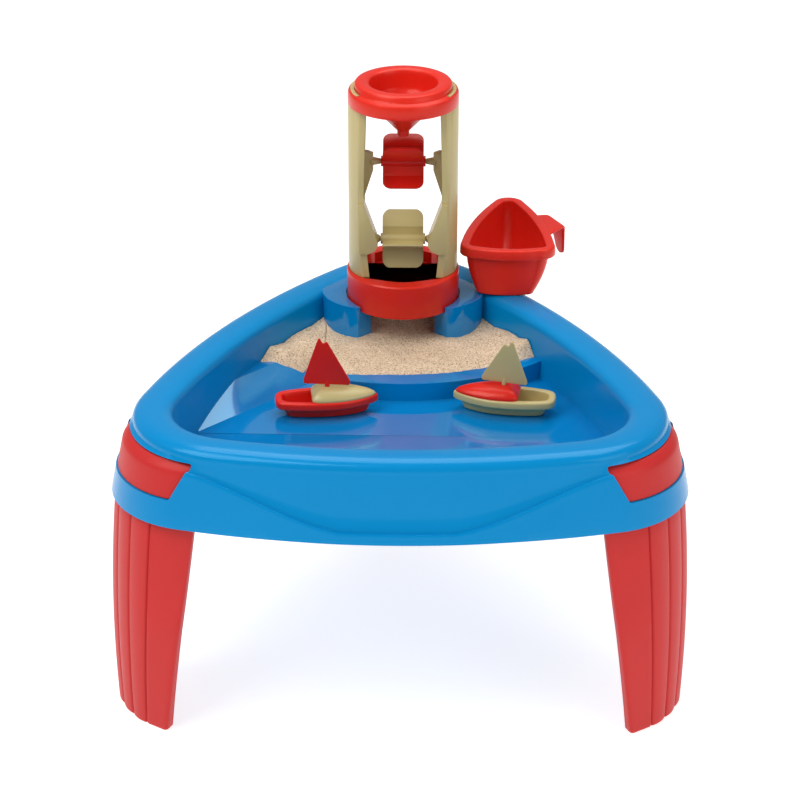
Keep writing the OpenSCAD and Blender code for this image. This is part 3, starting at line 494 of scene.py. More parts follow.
def rim_section(wave, out):
    """The rim's section, from the basin floor over the roll to the apron's foot. out gives the reach
    of an apron's offset along this station's direction."""
    pts = list(WALL_LINE)
    for k in range(ROLL_STEPS + 1):
        a = math.pi * (1 - k / ROLL_STEPS)
        c = math.cos(a)
        s = math.sin(a)
        e = ROLL_IN_SHARPNESS if c < 0 else ROLL_OUT_SHARPNESS
        x = ROLL_MID + ROLL_HALF * math.copysign(abs(c) ** e, c)
        pts.append((x, ROLL_FOOT_Z + ROLL_RISE * abs(s) ** e))
    up = out(upper_at(wave))
    edge = out(band_at(wave - WAVE_BEVEL))
    low = out(FLARE)
    for share in SKIN_SHARES:
        z = SKIN_TOP_Z + (wave - SKIN_TOP_Z) * share
        pts.append((LIP_OFF + (up - LIP_OFF) * (LIP_Z - z) / (LIP_Z - wave), z))
    pts += [(up - 0.1, wave + 0.8), (up + 0.35, wave + 0.15), (up + 0.9, wave),
            (edge - 1.6, wave - 0.2), (edge - 0.7, wave - 0.7), (edge - 0.1, wave - 1.9)]
    for share in BAND_SHARES:
        pts.append((edge + (low - edge) * share, wave - WAVE_BEVEL + (APRON_Z - wave + WAVE_BEVEL) * share))
    pts += [(low - 0.3, APRON_Z + 0.9), (low - 1.0, APRON_Z + 0.2), (low - 1.9, APRON_Z),
            (low - 3.4, APRON_Z + 0.3), (out(upper_at(wave) - TRAY_T), wave - WAVE_BEVEL)]
    return pts + UNDER_ROLL


def rim_stations():
    """Sections round the table as (centre, radius, angle, wave height, reach)."""
    found = []
    for turn in TURNS:
        c = polar(RIM_C, turn)
        for k in range(CORNER_STEPS):
            b = RIM_CORNER_HALF * (2 * k / CORNER_STEPS - 1)
            wave = WAVE_TOP if arc_angle(b, 0) <= CORNER_HALF else wave_at(side_run(b))
            found.append((c, RIM_R, turn + b, wave, lambda off, b=b: apron_out(b, off)))
        s = -polar(BOW_BACK, turn + SIXTH)
        for k in range(SIDE_STEPS):
            b = RIM_SIDE_HALF * (2 * k / SIDE_STEPS - 1)
            found.append((s, SIDE_R, turn + SIXTH + b, wave_at(SIDE_R * sind(b)), lambda off: off))
    return found


def tray_rim():
    rings = []
    for c, r, a, wave, reach in rim_stations():
        d = polar(1, a)
        rings.append([(c[0] + (r + x) * d[0], c[1] + (r + x) * d[1], z) for x, z in rim_section(wave, reach)])
    ob = loft("tray_rim", rings, closed=True, origin=TABLE_AT)
    window = [(-WINDOW_LOW_HALF, WINDOW_Z), (WINDOW_LOW_HALF, WINDOW_Z), (WINDOW_HIGH_HALF, WINDOW_SLANT_Z),
              (WINDOW_HIGH_HALF, WINDOW_TOP), (-WINDOW_HIGH_HALF, WINDOW_TOP),
              (-WINDOW_HIGH_HALF, WINDOW_SLANT_Z)]
    window = round_poly(window, WINDOW_ROUND, 4)
    for turn in TURNS:
        near = np.array([(WINDOW_FROM, p[0], p[1]) for p in window])
        far = np.array([(WINDOW_TO, p[0], p[1]) for p in window])
        k = polar(CORNER_C, turn)
        cut = loft("cut", [near, far], turn=turn, origin=(k[0], k[1] + TABLE_Y, 0))
        boolean(ob, cut, "DIFFERENCE")
    shade(ob, 34)
    return ob


def ramp_strip(name, profile):
    """A prism along the ramp's edge from points (distance uphill, height)."""
    n = polar(1, RAMP_TURN)
    t = polar(1, RAMP_TURN - 90)
    ends = [np.array([(n[0] * p + t[0] * q, n[1] * p + t[1] * q, z) for p, z in profile])
            for q in (-FAR, FAR)]
    return loft(name, ends, origin=TABLE_AT)


def socket_outline(r):
    pts = [(SOCKET_HALF + r * cosd(a), SOCKET_Y + r * sind(a)) for a in np.arange(-90, 1, 3.0)]
    pts += [(SOCKET_HALF + r, SOCKET_BACK), (-SOCKET_HALF - r, SOCKET_BACK)]
    pts += [(-SOCKET_HALF + r * cosd(a), SOCKET_Y + r * sind(a)) for a in np.arange(180, 271, 3.0)]
    return pts


def mouth_outline(half):
    reach = MOUTH_REACH * math.tan(math.radians(half))
    return [(0, 0), (-reach, -MOUTH_REACH), (reach, -MOUTH_REACH)]


def tray_deck():
    """The raised deck with its ramp on the left."""
    deck = prism("deck", circle(LEDGE_R, (0, LEDGE_Y), 1.0), UNDER_Z, DECK_Z, origin=TABLE_AT)
    left = [(-FAR, -FAR), (RAMP_X, -FAR), (RAMP_X, FAR), (-FAR, FAR)]
    boolean(deck, prism("left", left, 200, 500, origin=TABLE_AT), "DIFFERENCE")
    crest_at = RAMP_FOOT + RAMP_RUN
    up = ramp_strip("up", [(RAMP_FOOT, UNDER_Z), (RAMP_FOOT, BASIN_Z), (crest_at, DECK_Z), (FAR, DECK_Z),
                           (FAR, UNDER_Z)])
    edge = RAMP_X - 0.5
    right = [(edge, -FAR), (FAR, -FAR), (FAR, FAR), (edge, FAR)]
    boolean(up, prism("right", right, 200, 500, origin=TABLE_AT), "DIFFERENCE")
    crest = ramp_strip("crest", [(crest_at, UNDER_Z), (crest_at, DECK_Z), (FAR, DECK_Z), (FAR, UNDER_Z)])
    boolean(deck, crest, "UNION")
    boolean(deck, up, "UNION")
    boolean(deck, prism("area", plan(BASIN_OFF), 290, 400, origin=TABLE_AT), "INTERSECT")
    return deck


def tray_socket():
    """The tower's socket: a block with a seat, a pit and an open mouth."""
    block = prism("block", socket_outline(SOCKET_R), 330, SOCKET_TOP, origin=TOWER_AT)
    boolean(block, prism("lid", plan(SOCKET_OFF), 300, 420, origin=TABLE_AT), "INTERSECT")
    boolean(block, prism("seat", circle(SEAT_R), SEAT_Z, 400, origin=TOWER_AT), "DIFFERENCE")
    boolean(block, prism("pit", circle(PIT_R), DECK_Z, 400, origin=TOWER_AT), "DIFFERENCE")
    boolean(block, prism("mouth", mouth_outline(MOUTH_HALF), DECK_Z, 400, origin=TOWER_AT), "DIFFERENCE")
    return block


def tray_basin():
    floor = prism("tray_basin", plan(BASIN_OFF), UNDER_Z, BASIN_Z, origin=TABLE_AT)
    boolean(floor, tray_deck(), "UNION")
    boolean(floor, tray_socket(), "UNION")
    mod = floor.modifiers.new("flat", "DECIMATE")
    mod.decimate_type = "DISSOLVE"
    mod.angle_limit = math.radians(0.5)
    bevel(floor, BASIN_ROUND, 4, 30)
    bake(floor, 34)
    return floor


# Legs
LEG_GAP = 1.6
FLUTE_BULGE = 1.3
GROOVE_HALF = 1.25
GROOVE_LINE = [(-1, 0), (-0.72, 0.35), (-0.4, 1.7), (-0.15, 2.7), (0, 2.9), (0.15, 2.7), (0.4, 1.7),
               (0.72, 0.35), (1, 0)]
EDGE_SLOPE = 0.1
LEG_FOOT_HALF = 34.4
LEG_SPREAD = 20.1
OUTER_GROOVE_SHARE = 0.552
OUTER_GROOVE_TURN = 0.084
FOOT_ROUND_H = 4.0
FOOT_ROUND = 2.2
EDGE_DEPTHS = (14, 9, 5)
EDGE_ROUND = 4.0
EDGE_TURN = 2.0
EDGE_STEPS = 6
PANEL_STEPS = 8
FLUTE_STEPS = 12
INSIDE_DEPTH = 6.5
LEG_WALL = 3.4
HEAD_DEPTH = 13.5
HEAD_TOP = 364.4
HEAD_SECTION = [(320.8, -2.4), (321.4, -2.0), (330, -2), (345, -2), (352, -2), (354.5, -2.3), (357, -3.4),
                (364.0, -9.4), (HEAD_TOP, -10.4)]
HEAD_STEPS = 16


def leg_profile(z):
    """A leg's section at a height: nose radius, edge radius, half angle and outer groove's angle."""
    r = nose_at(z)
    if z >= APRON_Z:
        r = min(r, CORNER_R + apron_inside(z) - FLUTE_BULGE - LEG_GAP)
    e = min(r, CORNER_R + upper_at(max(z, APRON_Z)) - TRAY_T - LEG_GAP + max(APRON_Z - z, 0) * EDGE_SLOPE)
    u = min(z / APRON_Z, 1)
    half = LEG_FOOT_HALF + LEG_SPREAD * u
    outer = half * (OUTER_GROOVE_SHARE - OUTER_GROOVE_TURN * u)
    return r, e, half, outer


def leg_edge(e, half):
    """The left edge of a section, from the inside round to the panel."""
    pts = [polar(e - d, -half) for d in EDGE_DEPTHS]
    for k in range(1, EDGE_STEPS):
        t = k / EDGE_STEPS * math.pi / 2
        pts.append(polar(e - EDGE_ROUND * (1 - math.sin(t)), -half + EDGE_TURN * (1 - math.cos(t))))
    return pts


def leg_ring(z):
    r, e, half, outer = leg_profile(z)
    inset = FOOT_ROUND * (1 - math.sqrt(max(0, 1 - (1 - min(z, FOOT_ROUND_H) / FOOT_ROUND_H) ** 2)))
    r = r - inset
    e = e - inset
    half -= inset * 0.6
    inner = outer / 3
    hw = GROOVE_HALF
    left = leg_edge(e, half)
    pts = list(left)
    p0 = polar(e, -half + EDGE_TURN)
    p1 = polar(r, -outer - hw)
    for k in range(PANEL_STEPS):
        pts.append(p0 + (p1 - p0) * k / PANEL_STEPS)
    grooves = [-outer, -inner, inner, outer]
    for i, g in enumerate(grooves):
        for k, d in GROOVE_LINE:
            pts.append(polar(r - d, g + hw * k))
        if i < len(grooves) - 1:
            run = grooves[i + 1] - g - 2 * hw
            for k in range(1, FLUTE_STEPS):
                u = k / FLUTE_STEPS
                pts.append(polar(r + FLUTE_BULGE * math.sin(math.pi * u) ** 0.8, g + hw + run * u))
    p0 = polar(r, outer + hw)
    p1 = polar(e, half - EDGE_TURN)
    for k in range(1, PANEL_STEPS + 1):
        pts.append(p0 + (p1 - p0) * k / PANEL_STEPS)
    pts += [np.array([p[0], -p[1]]) for p in reversed(left)]
    for rr, aa in ((e - 14, half - LEG_WALL), (e - 7, half - LEG_WALL)):
        pts.append(polar(rr, aa))
    for k in range(6, -7, -1):
        pts.append(polar(r - INSIDE_DEPTH, outer * k / 6))
    for rr, aa in ((e - 7, -half + LEG_WALL), (e - 14, -half + LEG_WALL)):
        pts.append(polar(rr, aa))
    return [(p[0], p[1], z) for p in pts]


def leg_plate(**place):
    """The flat floor of a leg's foot."""
    r, e, half, outer = leg_profile(0)
    base = [polar(e - 13, -half + 2.5), polar(e - 6, -half + 2.5)]
    base += [polar(r - 6, outer * q / 6) for q in range(-6, 7)]
    base += [polar(e - 6, half - 2.5), polar(e - 13, half - 2.5)]
    return prism("plate", base, 0.3, 3.8, **place)


def head_half(z):
    low = 2 * WINDOW_LOW_HALF
    rise = 2 * (WINDOW_HIGH_HALF - WINDOW_LOW_HALF)
    return (low + rise * clip((z - WINDOW_Z) / 39.1)) / 2 - 0.8


def leg_head(**place):
    """The block that fills the apron's window."""
    rows = []
    inner = CORNER_R + band_at(HEAD_TOP) - HEAD_DEPTH
    for z, off in HEAD_SECTION:
        ro = CORNER_R + band_at(z) + off
        a = math.degrees(math.asin(head_half(z) / ro))
        b = math.degrees(math.asin(head_half(z) / inner))
        rows.append([tuple(polar(ro, a * q / HEAD_STEPS)) + (z,) for q in range(-HEAD_STEPS, HEAD_STEPS + 1)]
                    + [tuple(polar(inner, b * q / HEAD_STEPS)) + (z,)
                       for q in range(HEAD_STEPS, -HEAD_STEPS - 1, -1)])
    head = loft("head", rows, **place)
    bevel(head, 1.2, 3, 50)
    return bake(head)


def leg_mesh(name, turn):
    zs = [0.0, 0.4, 1.2, 2.4, 4.0] + list(np.linspace(10, APRON_Z, 34)) + [300, 320, 348]
    k = polar(CORNER_C, turn)
    place = dict(turn=turn, origin=(k[0], k[1] + TABLE_Y, 0))
    ob = loft(name, [leg_ring(z) for z in zs], angle=40, **place)
    join(ob, leg_plate(**place), leg_head(**place))
    shade(ob, 36)
    return ob


# Sand
SAND_HILLS = [(186, 134, 20, 34), (150, 176, 11, 30), (112, 244, 11, 30), (-108, 246, 11, 34),
              (-182, 116, 9, 34), (-150, 190, 7, 34), (50, 150, 2.5, 30), (-45, 140, 2.5, 34)]
SAND_RIPPLES = [(26, 11, 2.2), (9, 12, 1.1), (3.2, 13, 0.55)]
SAND_STEP_X = -101.2
SAND_XS = np.concatenate([np.linspace(-205, -101.5, 50), np.linspace(-100.6, 205, 150)])
SAND_SHARES = np.linspace(0, 1, 150) ** 1.25
SAND_FRONT = 72.0
SAND_CURL = 0.0019
SAND_TIP_X = -128.0
SAND_TIP_Y = 107.0
SAND_NOTCH_X = -100.0
SAND_NOTCH_Y = 138.0
SAND_BACK = 330.0
SAND_EDGE_RUN = 20.0
SAND_SLUMP = 34.0
SAND_SKIN = 1.0
SAND_SKIN_RUN = 2.5
SAND_RISE = 2.2
SAND_OFF = -46.0
SAND_SOCKET_R = 61.3
SAND_PIT_R = 57.2
SAND_MOUTH_HALF = 47.3


def noise2(x, y, cell, seed):
    """Smooth value noise on a grid of cells."""
    g = np.random.default_rng(seed).random((256, 256))
    u = x / cell + 100
    v = y / cell + 100
    i = np.floor(u).astype(int)
    j = np.floor(v).astype(int)
    fu = u - i
    fv = v - j
    fu = fu * fu * (3 - 2 * fu)
    fv = fv * fv * (3 - 2 * fv)
    a = g[i % 256, j % 256]
    b = g[(i + 1) % 256, j % 256]
    c = g[i % 256, (j + 1) % 256]
    d = g[(i + 1) % 256, (j + 1) % 256]
    return (a * (1 - fu) + b * fu) * (1 - fv) + (c * (1 - fu) + d * fu) * fv - 0.5


def ramp_y(x, run):
    """Where a line of the ramp crosses a given x."""
    return (RAMP_FOOT + run - x * cosd(RAMP_TURN)) / sind(RAMP_TURN)


def sand_low(x, y):
    """Height of the deck or the ramp below the sand."""
    if x >= SAND_STEP_X:
        return DECK_Z
    foot = ramp_y(x, 0)
    crest = ramp_y(x, RAMP_RUN)
    return DECK_Z - (DECK_Z - BASIN_Z) * clip((crest - y) / (crest - foot))


def sand_front(x):
    """The sand's front edge, with a little unevenness."""
    w = 2.2 * float(noise2(np.array(x), np.array(5.0), 13, 3))
    w += 1.6 * float(noise2(np.array(x), np.array(9.0), 5, 4))
    if x > SAND_STEP_X:
        return SAND_FRONT + SAND_CURL * max(x, 0) ** 2 + w
    if x < SAND_TIP_X:
        return SAND_TIP_Y + w
    share = (SAND_NOTCH_X - x) / (SAND_NOTCH_X - SAND_TIP_X)
    return SAND_NOTCH_Y + (SAND_TIP_Y - SAND_NOTCH_Y) * share + w


def sand_top(x, y, front):
    t = clip((y - front) / SAND_EDGE_RUN)
    slump = ease(clip((x - SAND_NOTCH_X) / SAND_SLUMP + 1))
    low = sand_low(x, y)
    hill = max(h[2] * math.exp(-((x - h[0]) ** 2 + (y - h[1]) ** 2) / (2 * h[3] ** 2)) for h in SAND_HILLS)
    return (low + slump * (DECK_Z - low) * t + SAND_SKIN * clip((y - front) / SAND_SKIN_RUN) + SAND_RISE * t
            + ease(t) * hill)


def sand_mesh():
    rows = []
    for x in SAND_XS:
        f = sand_front(x)
        row = [(x, f - 0.2, sand_low(x, f) - 1.0)]
        for q in SAND_SHARES:
            y = f + (SAND_BACK - f) * q
            row.append((x, y, sand_top(x, y, f)))
        row.append((x, SAND_BACK, DECK_Z - 8))
        rows.append(row)
    grid = np.array(rows)
    m, k = grid.shape[:2]
    flat = grid.reshape(-1, 3)
    n = sum(noise2(flat[:, 0], flat[:, 1], cell, seed) * size for cell, seed, size in SAND_RIPPLES)
    flat[:, 2] += n * np.clip((flat[:, 2] - DECK_Z - 0.5) / 3, 0, 1)
    faces = [(i * k + j, (i + 1) * k + j, (i + 1) * k + j + 1, i * k + j + 1)
             for i in range(m - 1) for j in range(k - 1)]
    faces.append(tuple(range(k)))
    faces.append(tuple((m - 1) * k + j for j in range(k)))
    faces.append(tuple([i * k for i in range(m)] + [i * k + k - 1 for i in range(m - 1, -1, -1)]))
    ob = add_mesh("sand", flat, faces, origin=TABLE_AT)
    boolean(ob, prism("area", plan(SAND_OFF), 280, 420, origin=TABLE_AT), "INTERSECT")
    block = prism("blk", socket_outline(SAND_SOCKET_R), 300, 400, origin=TOWER_AT)
    boolean(block, prism("pit", circle(SAND_PIT_R), 290, 410, origin=TOWER_AT), "DIFFERENCE")
    boolean(block, prism("mouth", mouth_outline(SAND_MOUTH_HALF), 290, 410, origin=TOWER_AT), "DIFFERENCE")
    boolean(ob, block, "DIFFERENCE")
    shade(ob, 60)
    return ob


# Bucket
BUCKET_CORNERS = np.array([(96.4, 233), (178, 229), (142, 372)], float)
BUCKET_AIM = np.array([128.0, 212.0])
BUCKET_Z = RIM_Z + SEAT_GAP
BUCKET_H = 66.5
BUCKET_R = 22.0
BUCKET_BOW = 26.0
BUCKET_IN = 8.5
BUCKET_SKIRT = 13.0
BUCKET_BASE_SHARE = 0.7
BUCKET_STEPS = 14
STRAP_T = 3.4
STRAP_BEND = 6.0
STRAP_DROP = 42.8
STRAP_FOLD = np.array([(216.0, 298.0), (198.0, 333.0)])
STRAP_W = 39.3
STRAP_TIP_R = 7.0
STRAP_ROUND = 32


def bucket_outline(inset, arc=14, side=20):
    """The rim's three-cornered outline at an inset."""
    pts = []
    dirs = []
    for i in range(3):
        d = BUCKET_CORNERS[(i + 1) % 3] - BUCKET_CORNERS[i]
        dirs.append(math.degrees(math.atan2(d[1], d[0])))
    r = BUCKET_R - inset
    for i in range(3):
        prev = dirs[(i + 2) % 3]
        turn = (dirs[i] - prev + 360) % 360
        for k in range(arc + 1):
            pts.append(BUCKET_CORNERS[i] + polar(r, prev - 90 + turn * k / arc))
        a = pts[-1]
        b = BUCKET_CORNERS[(i + 1) % 3] + polar(r, dirs[i] - 90)
        for k in range(1, side):
            u = k / side
            pts.append(a + (b - a) * u + polar(BUCKET_BOW * u * (1 - u), dirs[i] - 90))
    return np.array(pts)


def bucket_ring(inset, share, z):
    p = BUCKET_AIM + (bucket_outline(inset) - BUCKET_AIM) * share
    return [(q[0], q[1], BUCKET_Z + z) for q in p]


def bucket_pot():
    """The pot: base, bellied wall, skirt of the rim, rolled rim and the inside down to the floor."""
    lo = BUCKET_BASE_SHARE
    h = BUCKET_H
    skirt = h - BUCKET_SKIRT

    def belly(u):
        return lo + (1 - lo) * (1 - (1 - u) ** 2)

    rings = [bucket_ring(12.5, lo, 0), bucket_ring(10.5, lo, 0.1), bucket_ring(9.2, lo, 0.7),
             bucket_ring(8.6, lo, 1.8), bucket_ring(BUCKET_IN, belly(0.03), 4)]
    for k in range(1, BUCKET_STEPS + 1):
        u = k / BUCKET_STEPS
        rings.append(bucket_ring(BUCKET_IN, belly(0.03 + 0.97 * u), 4 + (h - 8) * u))
    for inset, z in ((7.6, h - 3.0), (3.6, h - 2.7), (2.6, h - 3.6), (2.5, skirt + 0.8), (2.1, skirt + 0.1),
                     (1.2, skirt), (0.4, skirt + 0.2), (0.05, skirt + 0.8), (0.2, h - 7), (0.7, h - 2.4),
                     (1.1, h - 1.2), (1.9, h - 0.4), (3.0, h), (10.6, h), (11.9, h - 0.4), (12.7, h - 1.4),
                     (12.6, h - 3)):
        rings.append(bucket_ring(inset, 1, z))
    for k in range(1, BUCKET_STEPS + 1):
        u = 1 - k / BUCKET_STEPS
        rings.append(bucket_ring(12.6 - 1.5 * (1 - u), belly(0.05 + 0.95 * u), 6 + (h - 9) * u))
    rings += [bucket_ring(11.6, lo, 4.2), bucket_ring(13, lo, 3.0), bucket_ring(15, lo, 2.6)]
    return loft("bucket_pot", rings, angle=50, origin=TABLE_AT)


def strap_rows():
    """The strap from the rim over its bend to the tongue's tip. Each row has the place along the
    fold and outwards of both its edges, a height and the turn of its face."""
    top = BUCKET_H - 0.6
    bend = STRAP_BEND
    rows = []
    for k in range(13):
        u = k / 12
        rows.append((-19.5 + (19.5 - 3.8) * u, -37 + (37 - bend) * u, 49.5 - 5.7 * u, -21 + (21 - bend) * u,
                     top - STRAP_T / 2, 0.0))
    for k in range(1, 11):
        turn = 9 * k
        out = -bend + (bend - STRAP_T / 2) * sind(turn)
        z = top - bend + (bend - STRAP_T / 2) * cosd(turn)
        rows.append((-3.8 * (1 - k / 10), out, STRAP_W + 4.5 * (1 - k / 10), out, z, turn))
    for k in range(1, 25):
        d = bend + (STRAP_DROP - bend) * k / 24
        high = STRAP_W * (1 - 0.14 * d / 14 if d < 14 else 0.86 - 0.42 * (d - 14) / 29)
        low = 0.0
        if d > STRAP_DROP - STRAP_TIP_R:
            past = (d - STRAP_DROP + STRAP_TIP_R) / STRAP_TIP_R
            low = STRAP_TIP_R * (1 - math.sqrt(max(1 - past ** 2, 0)))
            high = high - low
        rows.append((low, -STRAP_T / 2, max(high, low + 0.5), -STRAP_T / 2, top - d, 90.0))
    return rows


def bucket_strap():
    f = (STRAP_FOLD[1] - STRAP_FOLD[0]) / np.linalg.norm(STRAP_FOLD[1] - STRAP_FOLD[0])
    n = np.array([f[1], -f[0]])
    rings = []
    for s0, u0, s1, u1, z, turn in strap_rows():
        a = STRAP_FOLD[0] + f * s0 + n * u0
        b = STRAP_FOLD[0] + f * s1 + n * u1
        up = np.array([n[0] * sind(turn), n[1] * sind(turn), cosd(turn)])
        ring = []
        for q in range(STRAP_ROUND):
            ph = 2 * math.pi * q / STRAP_ROUND
            c = math.cos(ph)
            w = math.sin(ph)
            p = a + (b - a) * (0.5 + 0.5 * math.copysign(abs(c) ** 0.3, c))
            y = STRAP_T / 2 * math.copysign(abs(w) ** 0.6, w)
            ring.append((p[0] + up[0] * y, p[1] + up[1] * y, BUCKET_Z + z + up[2] * y))
        rings.append(ring)
    return loft("handle", rings, angle=50, origin=TABLE_AT)


def bucket_mesh():
    return join(bucket_pot(), bucket_strap())


# Boats
HULL_SHARES = [(-1, 0), (-0.98, 0.42), (-0.9, 0.68), (-0.7, 0.84), (-0.4, 0.96), (0, 1), (0.3, 0.93),
               (0.6, 0.7), (0.82, 0.42), (0.95, 0.18), (1, 0)]
DECK_SHARES = [(-0.29, 0), (-0.29, 0.62), (-0.25, 0.78), (-0.15, 0.86), (0, 0.88), (0.3, 0.82), (0.6, 0.61),
               (0.82, 0.35), (0.92, 0.15), (0.95, 0)]
CROWN_SHARES = [(1, 0.03), (1, 0.1), (0.993, 0.16), (0.97, 0.25), (0.93, 0.36), (0.87, 0.48), (0.8, 0.59),
                (0.72, 0.69), (0.63, 0.79), (0.54, 0.865), (0.45, 0.925), (0.36, 0.965), (0.27, 0.99),
                (0.2, 1.0)]
SAIL_SHARES = [(-0.94, 0), (0.9, 0), (0.97, 0.03), (0.96, 0.1), (0.04, 0.9), (-0.04, 0.92), (-0.1, 0.89),
               (-0.16, 0.88), (-0.22, 0.92), (-0.28, 0.99), (-0.36, 0.98), (-0.99, 0.1), (-1, 0.03)]
BOAT_HALF_L = 65.0
BOAT_HALF_W = 26.0
HULL_H = 24.0
CROWN_H = 13.0
PEG_X = 1.0
SAIL_UP = 2.5
SAIL_HALF = 29.9
SAIL_T = 2.6
# Each boat: where it lies, its turn, the sail's turn, the sail's height and the way its sail faces
BOATS = {"red": ((-94.0, 11.0), 6.0, -4.0, 66.0, 1), "beige": ((130.0, 19.0), 172.0, -16.0, 60.0, -1)}
HULL_RINGS = [(19, 15, 0), (16.5, 13, 0.3), (14.8, 11.6, 1.2), (13.6, 10.8, 3), (11.5, 9.9, 8),
              (9.6, 9.1, 13.2), (8.6, 8.6, 14.0), (2.2, 2.2, 14.1), (0.9, 0.9, 14.5), (0.2, 0.2, 15.4),
              (0, 0, 17), (0.1, 0.1, 21), (0.5, 0.5, 22.6), (1.3, 1.3, 23.6), (2.4, 2.4, HULL_H),
              (7.2, 7.2, HULL_H), (8.3, 8.3, 23.6), (9.0, 9.0, 22.4), (10, 10, 18), (13, 12.2, 7),
              (14.5, 13, 4.6), (17, 15, 4.0)]
PEG_HOLE = [(4.8, 13.0), (3.5, 12.9), (3.2, 12.5), (3.1, 6)]
PEG_LINE = [(2.4, -8.7), (3.0, -8.2), (3.0, 0), (3.0, 2.4), (2.6, 5), (1.4, 9)]


def outline(shares, per=6):
    """A smooth outline from one side's points, in shares of half the length and width."""
    full = [(x, -y) for x, y in shares] + [shares[k] for k in range(len(shares) - 2, 0, -1)]
    return np.clip(spline(full, per), -1, 1)


def place_boat(which):
    (x, y), turn = BOATS[which][:2]
    return dict(turn=turn, origin=(x, y + TABLE_Y, BASIN_Z + SEAT_GAP))


def hull_mesh(name, which):
    base = outline(HULL_SHARES)
    rings = [[(p[0] * (BOAT_HALF_L - ix), p[1] * (BOAT_HALF_W - iy), z) for p in base]
             for ix, iy, z in HULL_RINGS]
    return loft(name, rings, angle=45, **place_boat(which))


def deck_mesh(name, which):
    z0 = HULL_H + SEAT_GAP
    base = outline(DECK_SHARES, 8)
    pts = np.column_stack([base[:, 0] * BOAT_HALF_L, base[:, 1] * BOAT_HALF_W])
    peg = np.array([PEG_X, 0.0])
    rings = [[(p[0], p[1], z0) for p in pts]]
    for s, h in CROWN_SHARES:
        rings.append([tuple(peg + (p - peg) * s) + (z0 + CROWN_H * h,) for p in pts])
    rays = [(p - peg) / np.linalg.norm(p - peg) for p in pts]
    for r, z in PEG_HOLE:
        rings.append([tuple(peg + r * d) + (z0 + z,) for d in rays])
    return loft(name, rings, angle=45, **place_boat(which))


def sail_mesh(name, which):
    (x, y), turn, lean, height, sign = BOATS[which]
    foot = np.array([x, y]) + polar(PEG_X, turn)
    z = BASIN_Z + SEAT_GAP + HULL_H + SEAT_GAP + CROWN_H
    sheet = round_poly([(q[0] * SAIL_HALF, q[1] * (height - SAIL_UP)) for q in SAIL_SHARES], 1.6, 4)
    place = dict(turn=lean, origin=(foot[0], foot[1] + TABLE_Y, z))
    sides = [[(p[0] * sign, side * SAIL_T / 2, SAIL_UP + p[1]) for p in sheet] for side in (-1, 1)]
    ob = loft(name, sides, **place)
    bevel(ob, 0.7, 3, 40)
    bake(ob)
    rings = [[(r * cosd(a), r * sind(a), zz) for a in range(0, 360, 15)] for r, zz in PEG_LINE]
    return join(ob, loft("peg", rings, **place))


# Build and dress the pieces of this script
dress(tray_rim(), BLUE, "table", "tray")
dress(tray_basin(), BASIN, "table", "tray")
dress(sand_mesh(), SAND, "table", "sand_fill")
for leg_name, leg_turn in zip(("leg_front_left", "leg_front_right", "leg_rear"), TURNS):
    dress(leg_mesh(leg_name + "_shell", leg_turn), LEG, "table", leg_name)
dress(bucket_mesh(), RED, "bucket_body", "bucket")
for which, hull_mat, hull_slot, deck_mat, deck_slot in (
        ("red", WHEEL_RED, "red_plastic", BEIGE, "beige_plastic"),
        ("beige", BEIGE, "beige_plastic", WHEEL_RED, "red_plastic")):
    boat = which + "_boat"
    dress(hull_mesh(which + "_hull", which), hull_mat, boat, boat + "_hull")
    dress(deck_mesh(which + "_deck", which), deck_mat, boat, boat + "_deck")
    dress(sail_mesh(which + "_sail_sheet", which), hull_mat, which + "_sail", boat + "_sail")

# Dress the pieces that come from the part's own solids, with their edges softened
for node, mat in (("tower_base", RED), ("sieve_grid", RED), ("post_left", BEIGE), ("post_right", BEIGE),
                  ("funnel_cap", RED), ("upper_wheel", WHEEL_RED), ("lower_wheel", BEIGE)):
    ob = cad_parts[node]
    ob.data.materials.clear()
    ob.data.materials.append(mat)
    if node != "sieve_grid":
        weld = ob.modifiers.new("weld", "WELD")
        weld.merge_threshold = 0.00001
        flat = ob.modifiers.new("flat", "DECIMATE")
        flat.decimate_type = "DISSOLVE"
        flat.angle_limit = math.radians(0.4)
        bevel(ob, 0.7, 2, 32)
    ob.data.polygons.foreach_set("use_smooth", [node != "sieve_grid"] * len(ob.data.polygons))

# Stage, light and camera
PAPER_LEVEL = 1.0
SOFT_LEVEL = 0.32
FLOOR_GREY = (0.6, 0.6, 0.6, 1)
FLOOR_GLOW = 0.74
FLOOR_BOX = [(-9000, -5000, 0), (9000, -5000, 0), (9000, 12000, 0), (-9000, 12000, 0)]
AIM = (0, 0, 0.3)
LENS = 121.5
SENSOR = 36.0
FAR_CLIP = 60.0
YAW = -0.57
PITCH = 26.42
ROLL = 0.08
CAMERA_AT = (0.02868, -3.08369, 1.84111)


def studio():
    """A white world for the camera and a softer one for the light that it gives."""
    world = bpy.data.worlds.new("studio")
    bpy.context.scene.world = world
    world.use_nodes = True
    nt = world.node_tree
    nt.nodes.clear()
    out = nt.nodes.new("ShaderNodeOutputWorld")
    paper = nt.nodes.new("ShaderNodeBackground")
    paper.inputs["Color"].default_value = (1, 1, 1, 1)
    paper.inputs["Strength"].default_value = PAPER_LEVEL
    soft = nt.nodes.new("ShaderNodeBackground")
    soft.inputs["Color"].default_value = (1, 1, 1, 1)
    soft.inputs["Strength"].default_value = SOFT_LEVEL
    path = nt.nodes.new("ShaderNodeLightPath")
    mix = nt.nodes.new("ShaderNodeMixShader")
    nt.links.new(path.outputs["Is Camera Ray"], mix.inputs["Fac"])
    nt.links.new(soft.outputs["Background"], mix.inputs[1])
    nt.links.new(paper.outputs["Background"], mix.inputs[2])
    nt.links.new(mix.outputs["Shader"], out.inputs["Surface"])


